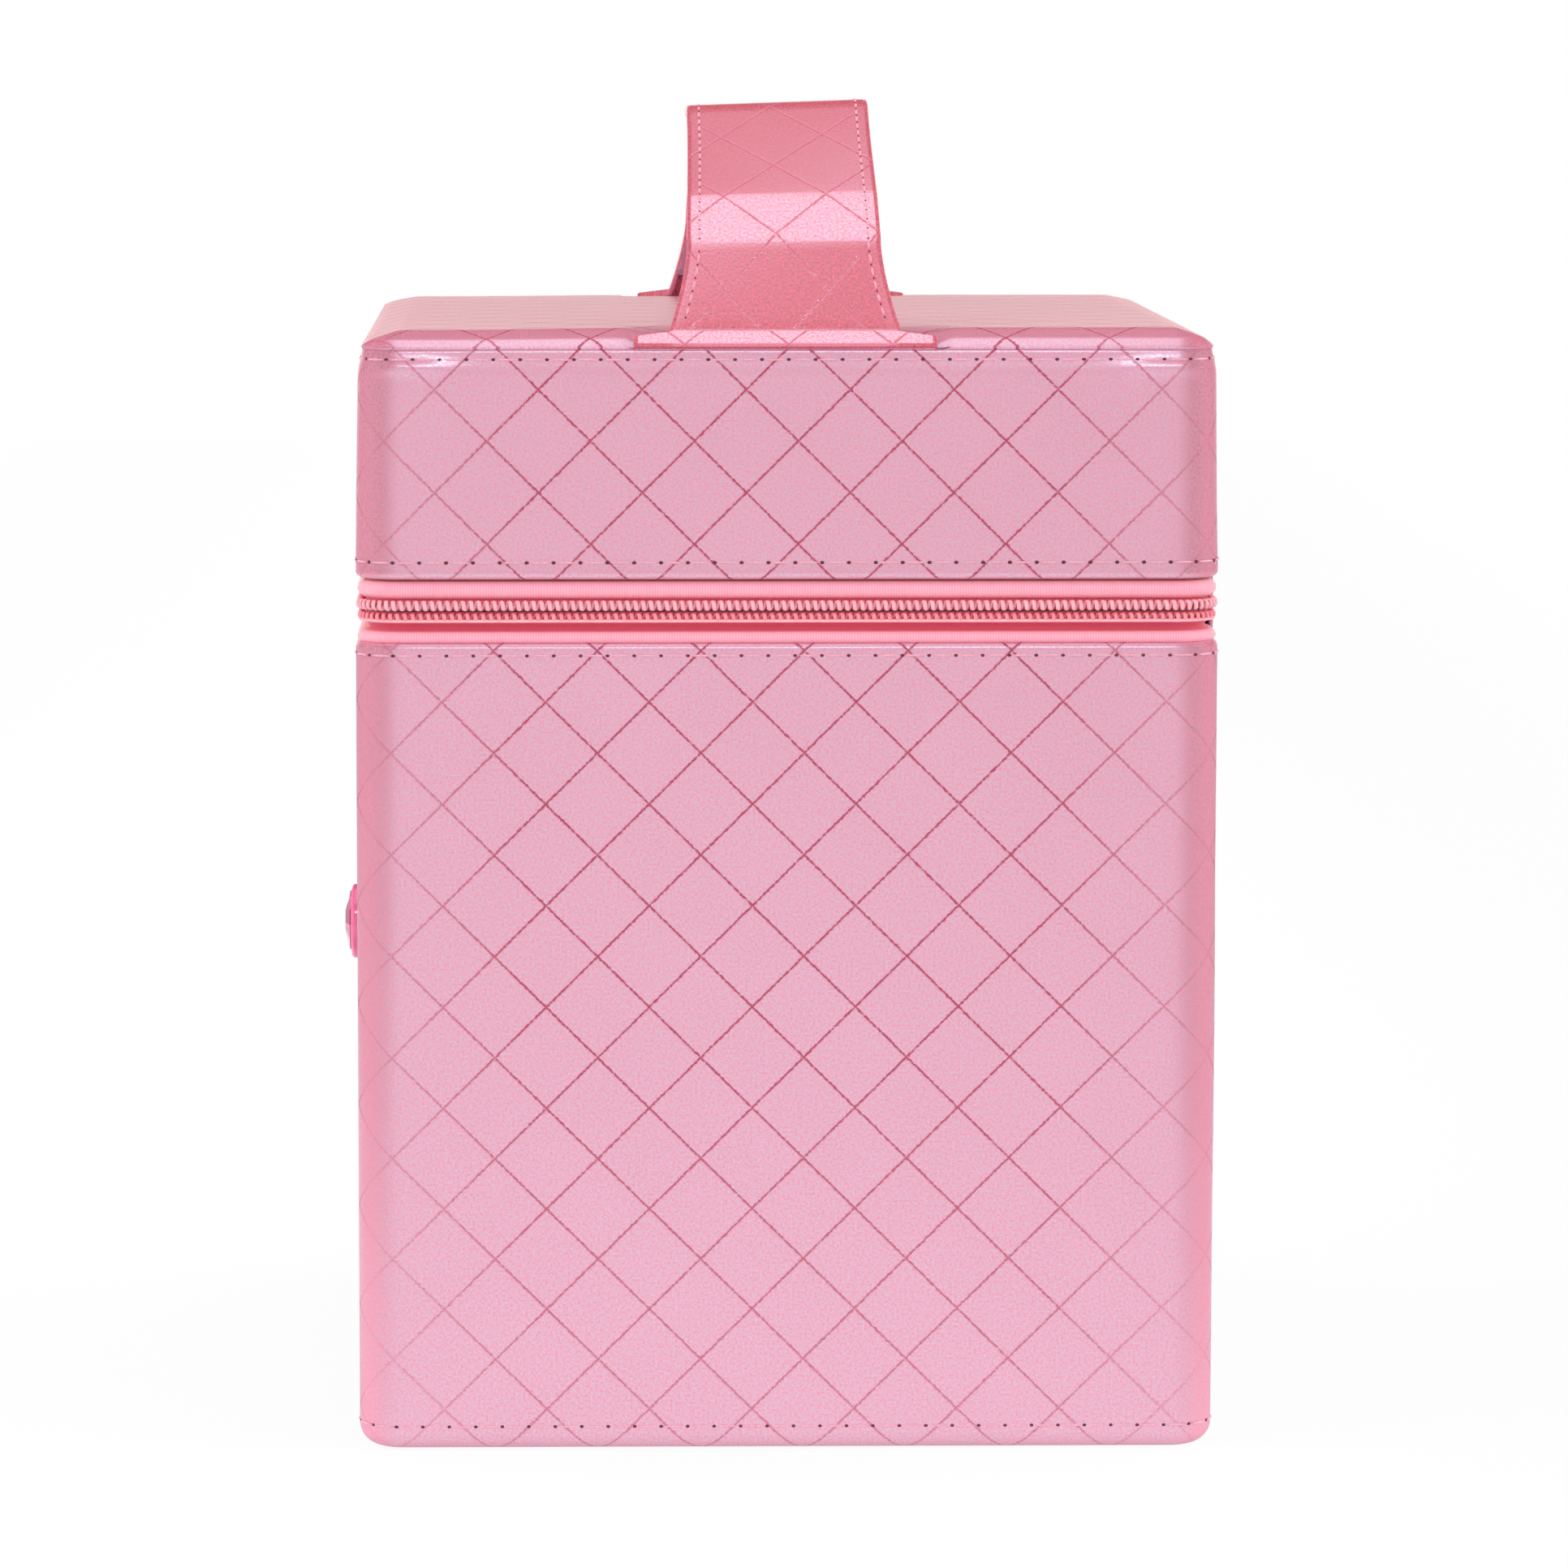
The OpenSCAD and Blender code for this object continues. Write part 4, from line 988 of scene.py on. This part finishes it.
def drawer_front_skin():
    """Padded skin of the drawer front: flat, rounded over at its edges and closed behind.

    A rounded square ring shrinks towards the middle; the outer rings roll back over the
    board with radius 1.
    """
    cx, cz = 0.0, (front_lo[2] + front_hi[2]) / 2
    hx, hz = front_hi[0], (front_hi[2] - front_lo[2]) / 2
    y_face, y_back = front_lo[1], front_hi[1]
    a = np.linspace(0, 2 * math.pi, 160, endpoint=False) + math.pi / 4
    square = np.stack([np.cos(a), np.sin(a)], 1)
    square /= np.abs(square).max(1)[:, None]
    t = np.linspace(0, math.pi / 2, 5)
    inset = np.concatenate([[3.0], 0.9 * (1 - np.cos(t))])
    depth = np.concatenate([[y_back], y_back - 0.05 - (y_back - y_face - 0.05) * np.sin(t)])
    rings = [np.stack([cx + square[:, 0] * (hx - i), np.full(160, d),
                       cz + square[:, 1] * (hz - i)], 1) for i, d in zip(inset, depth)]
    for k in np.linspace(0.97, 0.05, 16):
        rings.append(np.stack([cx + square[:, 0] * (hx - 0.9) * k, np.full(160, y_face),
                               cz + square[:, 1] * (hz - 0.9) * k], 1))
    points = np.stack(rings, 1)
    piece = domed_piece("drawer_front_skin", points, 0, 2)
    return dress(piece, quilted_skin, "drawer", ["drawer_front_cover"])


# ---- rims and edges ----------------------------------------------------------------------

def tray_rim():
    """Flocked bead that rounds the tray's top edge."""
    high = box_mm("tray")[1]
    inset = HALF_L - high[0] + 0.8
    bead = arc(0, high[2] - 0.3, 1.0, 0, 360, 11)[:-1]
    points = ring(HALF_L - inset, HALF_D - inset, CORNER_R - inset, bead)
    piece = grid_piece("tray_rim", points, wrap_rows=True, wrap_cols=True)
    return dress(piece, velvet, "case")


def padded_mirror_frame():
    """Padded skin frame round the mirror: a soft half-round roll that laps over the glass."""
    low, high = box_mm("mirror_frame")
    glass = box_mm("mirror_glass")[1]
    wide = high[0] - glass[0]
    a = np.linspace(0, math.pi, 12)
    roll = np.stack([(wide + 1.5) / 2 * (1 - np.cos(a)) - wide - 1.5,
                     low[2] + 0.4 - 1.8 * np.sin(a) ** 0.7], 1)
    profile = np.concatenate([[[-wide - 1.4, low[2] + 0.5]], roll, [[0.0, high[2]]],
                              [[-wide, high[2]]], [[-wide, low[2] + 0.6]]])
    points = ring(high[0], high[1], 6.0, profile, corner_steps=9)
    piece = grid_piece("mirror_frame_roll", points, wrap_rows=True, wrap_cols=True)
    dress(piece, plain_skin, "lid", ["mirror_frame"])
    return piece


def opening_edge():
    """The body's skin turned into the drawer opening, over the cut edge of the front board."""
    z0, z1 = OPEN_Z
    profile = np.array([[0.0, 0.05], [-0.35, 0.4], [-0.35, 5.2], [0.0, 5.2]])
    rim = ring(OPEN_X, (z1 - z0) / 2, 1.0, profile, corner_steps=5)
    points = np.stack([rim[..., 0], rim[..., 2] - HALF_D, rim[..., 1] + (z0 + z1) / 2], 2)
    piece = grid_piece("opening_edge", points, wrap_rows=True, wrap_cols=True)
    return dress(piece, plain_skin, "case")


# ---- stage: floor, lights, camera --------------------------------------------------------

def pale_floor():
    """Pale floor: matt, and a soft white pool of light before the near end of the case.

    The case's corners mirror the floor beside it, so its colour is painted darker there, as
    shade falls off outside a studio sweep. What the camera sees of it is nearly white, so the
    shadow stays.
    """
    bpy.ops.mesh.primitive_plane_add(size=6.0, location=(0, 0, -0.0002))
    floor = bpy.context.object
    floor.name = "floor"
    material, tree, place = new_material("pale_floor")
    seen = add(tree, "LightPath", out="Is Camera Ray")
    x, y, _ = add(tree, "SeparateXYZ", (place,)).node.outputs
    beside = add(tree, "Math", (y, 0.05), operation="ADD")
    beside = add(tree, "Math", (beside,), operation="ABSOLUTE")
    # painted shade: the floor's colour falls from 0.86 to 0.32 away from the case's sides
    painted_falloff = add(tree, "MapRange", (beside, 0.14, 0.5, 0.86, 0.32))
    matt = add(tree, "BsdfDiffuse", (add(tree, "CombineColor", (painted_falloff, painted_falloff, painted_falloff)),))
    aside = add(tree, "Math", (y,), operation="ABSOLUTE")
    pool = add(tree, "MapRange", (aside, 0.08, 0.40, 1.0, 0.0))
    for edge in ((x, 0.086, 0.104, 0.0, 1.0), (x, 0.25, 0.7, 0.76, 0.42)):
        pool = add(tree, "Math", (pool, add(tree, "MapRange", edge)), operation="MULTIPLY")
    near = add(tree, "MapRange", (x, 0.2, 0.6, 0.25, 0.0))
    near = add(tree, "Math", (pool, near), operation="MULTIPLY")
    unseen = add(tree, "Math", (1.0, seen), operation="SUBTRACT")
    more = add(tree, "Math", (near, unseen), operation="MULTIPLY")
    strength = add(tree, "Math", (1.0, more), operation="ADD")
    white = add(tree, "Emission", {"Color": (1, 1, 1, 1), "Strength": strength})
    wide = add(tree, "MapRange", (aside, 0.2, 0.45, 0.93, 1.0))
    wide = add(tree, "Math", (seen, wide), operation="MULTIPLY")
    share = add(tree, "Math", (pool, wide), operation="MAXIMUM")
    add(tree, "OutputMaterial", (add(tree, "MixShader", (share, matt, white)),))
    floor.data.materials.append(material)


def studio_walls():
    """White surroundings: full white to the camera and through glass.

    Glossy surfaces mirror a white band above the horizon, brighter and warmer behind the
    case. Diffuse ones get more light from both sides than from the ends.
    """
    world = bpy.data.worlds.new("studio")
    bpy.context.scene.world = world
    world.use_nodes = True
    tree = world.node_tree
    tree.nodes.clear()
    rays = add(tree, "LightPath").node.outputs
    glossy = rays["Is Glossy Ray"]
    toward = add(tree, "TexCoord", out="Generated")
    x, y, z = add(tree, "SeparateXYZ", (toward,)).node.outputs
    upward = add(tree, "Math", (z,), operation="ABSOLUTE")
    sideways = add(tree, "Math", (y,), operation="ABSOLUTE")
    behind = add(tree, "MapRange", (x, -0.5, 0.5, 1.0, 0.0))
    low = add(tree, "MapRange", (upward, 0.10, 0.36, 0.90, 0.0))
    ahead = add(tree, "MapRange", (sideways, 0.25, 0.75, 1.0, 0.0))
    band = add(tree, "Math", (low, ahead), operation="MULTIPLY")
    brighter = add(tree, "Math", (behind, 1.5), operation="MULTIPLY")
    brighter = add(tree, "Math", (1.0, brighter), operation="ADD")
    band = add(tree, "Math", (band, brighter), operation="MULTIPLY")
    mirrored = add(tree, "Math", (glossy, band), operation="MULTIPLY")
    sides = add(tree, "MapRange", (sideways, 0.35, 1.0, 0.35, 3.5))
    ambient = add(tree, "Math", (rays["Is Diffuse Ray"], sides), operation="MULTIPLY")
    level = add(tree, "Math", (rays["Is Camera Ray"], rays["Is Transmission Ray"]),
                operation="MAXIMUM")
    for part in (mirrored, ambient):
        level = add(tree, "Math", (level, part), operation="MAXIMUM")
    tinted = add(tree, "Math", (glossy, behind), operation="MULTIPLY")
    white = add(tree, "Mix", {0: tinted, 6: (1, 1, 1, 1), 7: linear("#FFF6E6")}, **COLOURS)
    add(tree, "OutputWorld", (add(tree, "Background", {"Color": white, "Strength": level}),))


def softbox(name, place, target, width, height, watts):
    """A soft rectangular lamp aimed at a point."""
    lamp = bpy.data.lights.new(name, "AREA")
    lamp.shape = "RECTANGLE"
    lamp.size, lamp.size_y, lamp.energy = width, height, watts
    holder = bpy.data.objects.new(name, lamp)
    holder.location = place
    holder.rotation_mode = "QUATERNION"
    holder.rotation_quaternion = (Vector(target) - Vector(place)).to_track_quat("-Z", "Y")
    bpy.context.scene.collection.objects.link(holder)


def camera():
    """The photograph's view: from the +X end, slightly from above, through a long lens."""
    yaw, pitch = math.radians(0.877), math.radians(6.631)
    data = bpy.data.cameras.new("camera")
    data.sensor_width = 36
    data.lens = 157.08
    data.shift_x = 0.0709
    data.clip_start, data.clip_end = 0.05, 50
    holder = bpy.data.objects.new("camera", data)
    holder.location = (1.4503, -0.0436, 0.2919)
    look = Vector((-math.cos(pitch) * math.cos(yaw), math.cos(pitch) * math.sin(yaw),
                   -math.sin(pitch)))
    holder.rotation_mode = "QUATERNION"
    holder.rotation_quaternion = look.to_track_quat("-Z", "Y")
    bpy.context.scene.collection.objects.link(holder)
    bpy.context.scene.camera = holder


finish_cad_nodes()
body_skin()
lid_skin()
lid_pillow()
seam_round("body_top_seam", BODY_TOP - 2.5, "case")
seam_round("body_base_seam", 5.0, "case")
seam_round("lid_bottom_seam", LID_Z0 + 3.4, "lid")
seam_round("lid_top_seam", SEAM_Z - 2.0, "lid", inset=1.1)
tape("zip_tape_low", LOW_TAPE, "case", "zip_tape_lower")
tape("zip_tape_high", HIGH_TAPE, "lid", "zip_tape_upper")
# the lower coil's darker nylon is painted shade
coil("zip_coil_low", ZIP_Z - 1.25, 0.0, "case", "zip_teeth_lower", shaded_nylon, 1.15, 0.62)
coil("zip_coil_high", ZIP_Z + 1.08, 0.5, "lid", "zip_teeth_upper", coil_nylon, half=0.8)
cord_line("zip_cord_low", -1.95, 0.9, 0.36, "case", coil_nylon)
hinge_strip()
strap()
drawer_front_skin()
tray_rim()
padded_mirror_frame()
opening_edge()
pale_floor()
studio_walls()
softbox("overhead_softbox", (0.02, 0.0, 1.5), (0.02, 0, 0.15), 1.6, 0.68, 5.2)
softbox("front_strip", (2.0, 0.14, 1.45), (0, 0, 0.2), 0.8, 0.24, 9.0)
camera()

bpy.context.scene.view_settings.view_transform = "Standard"
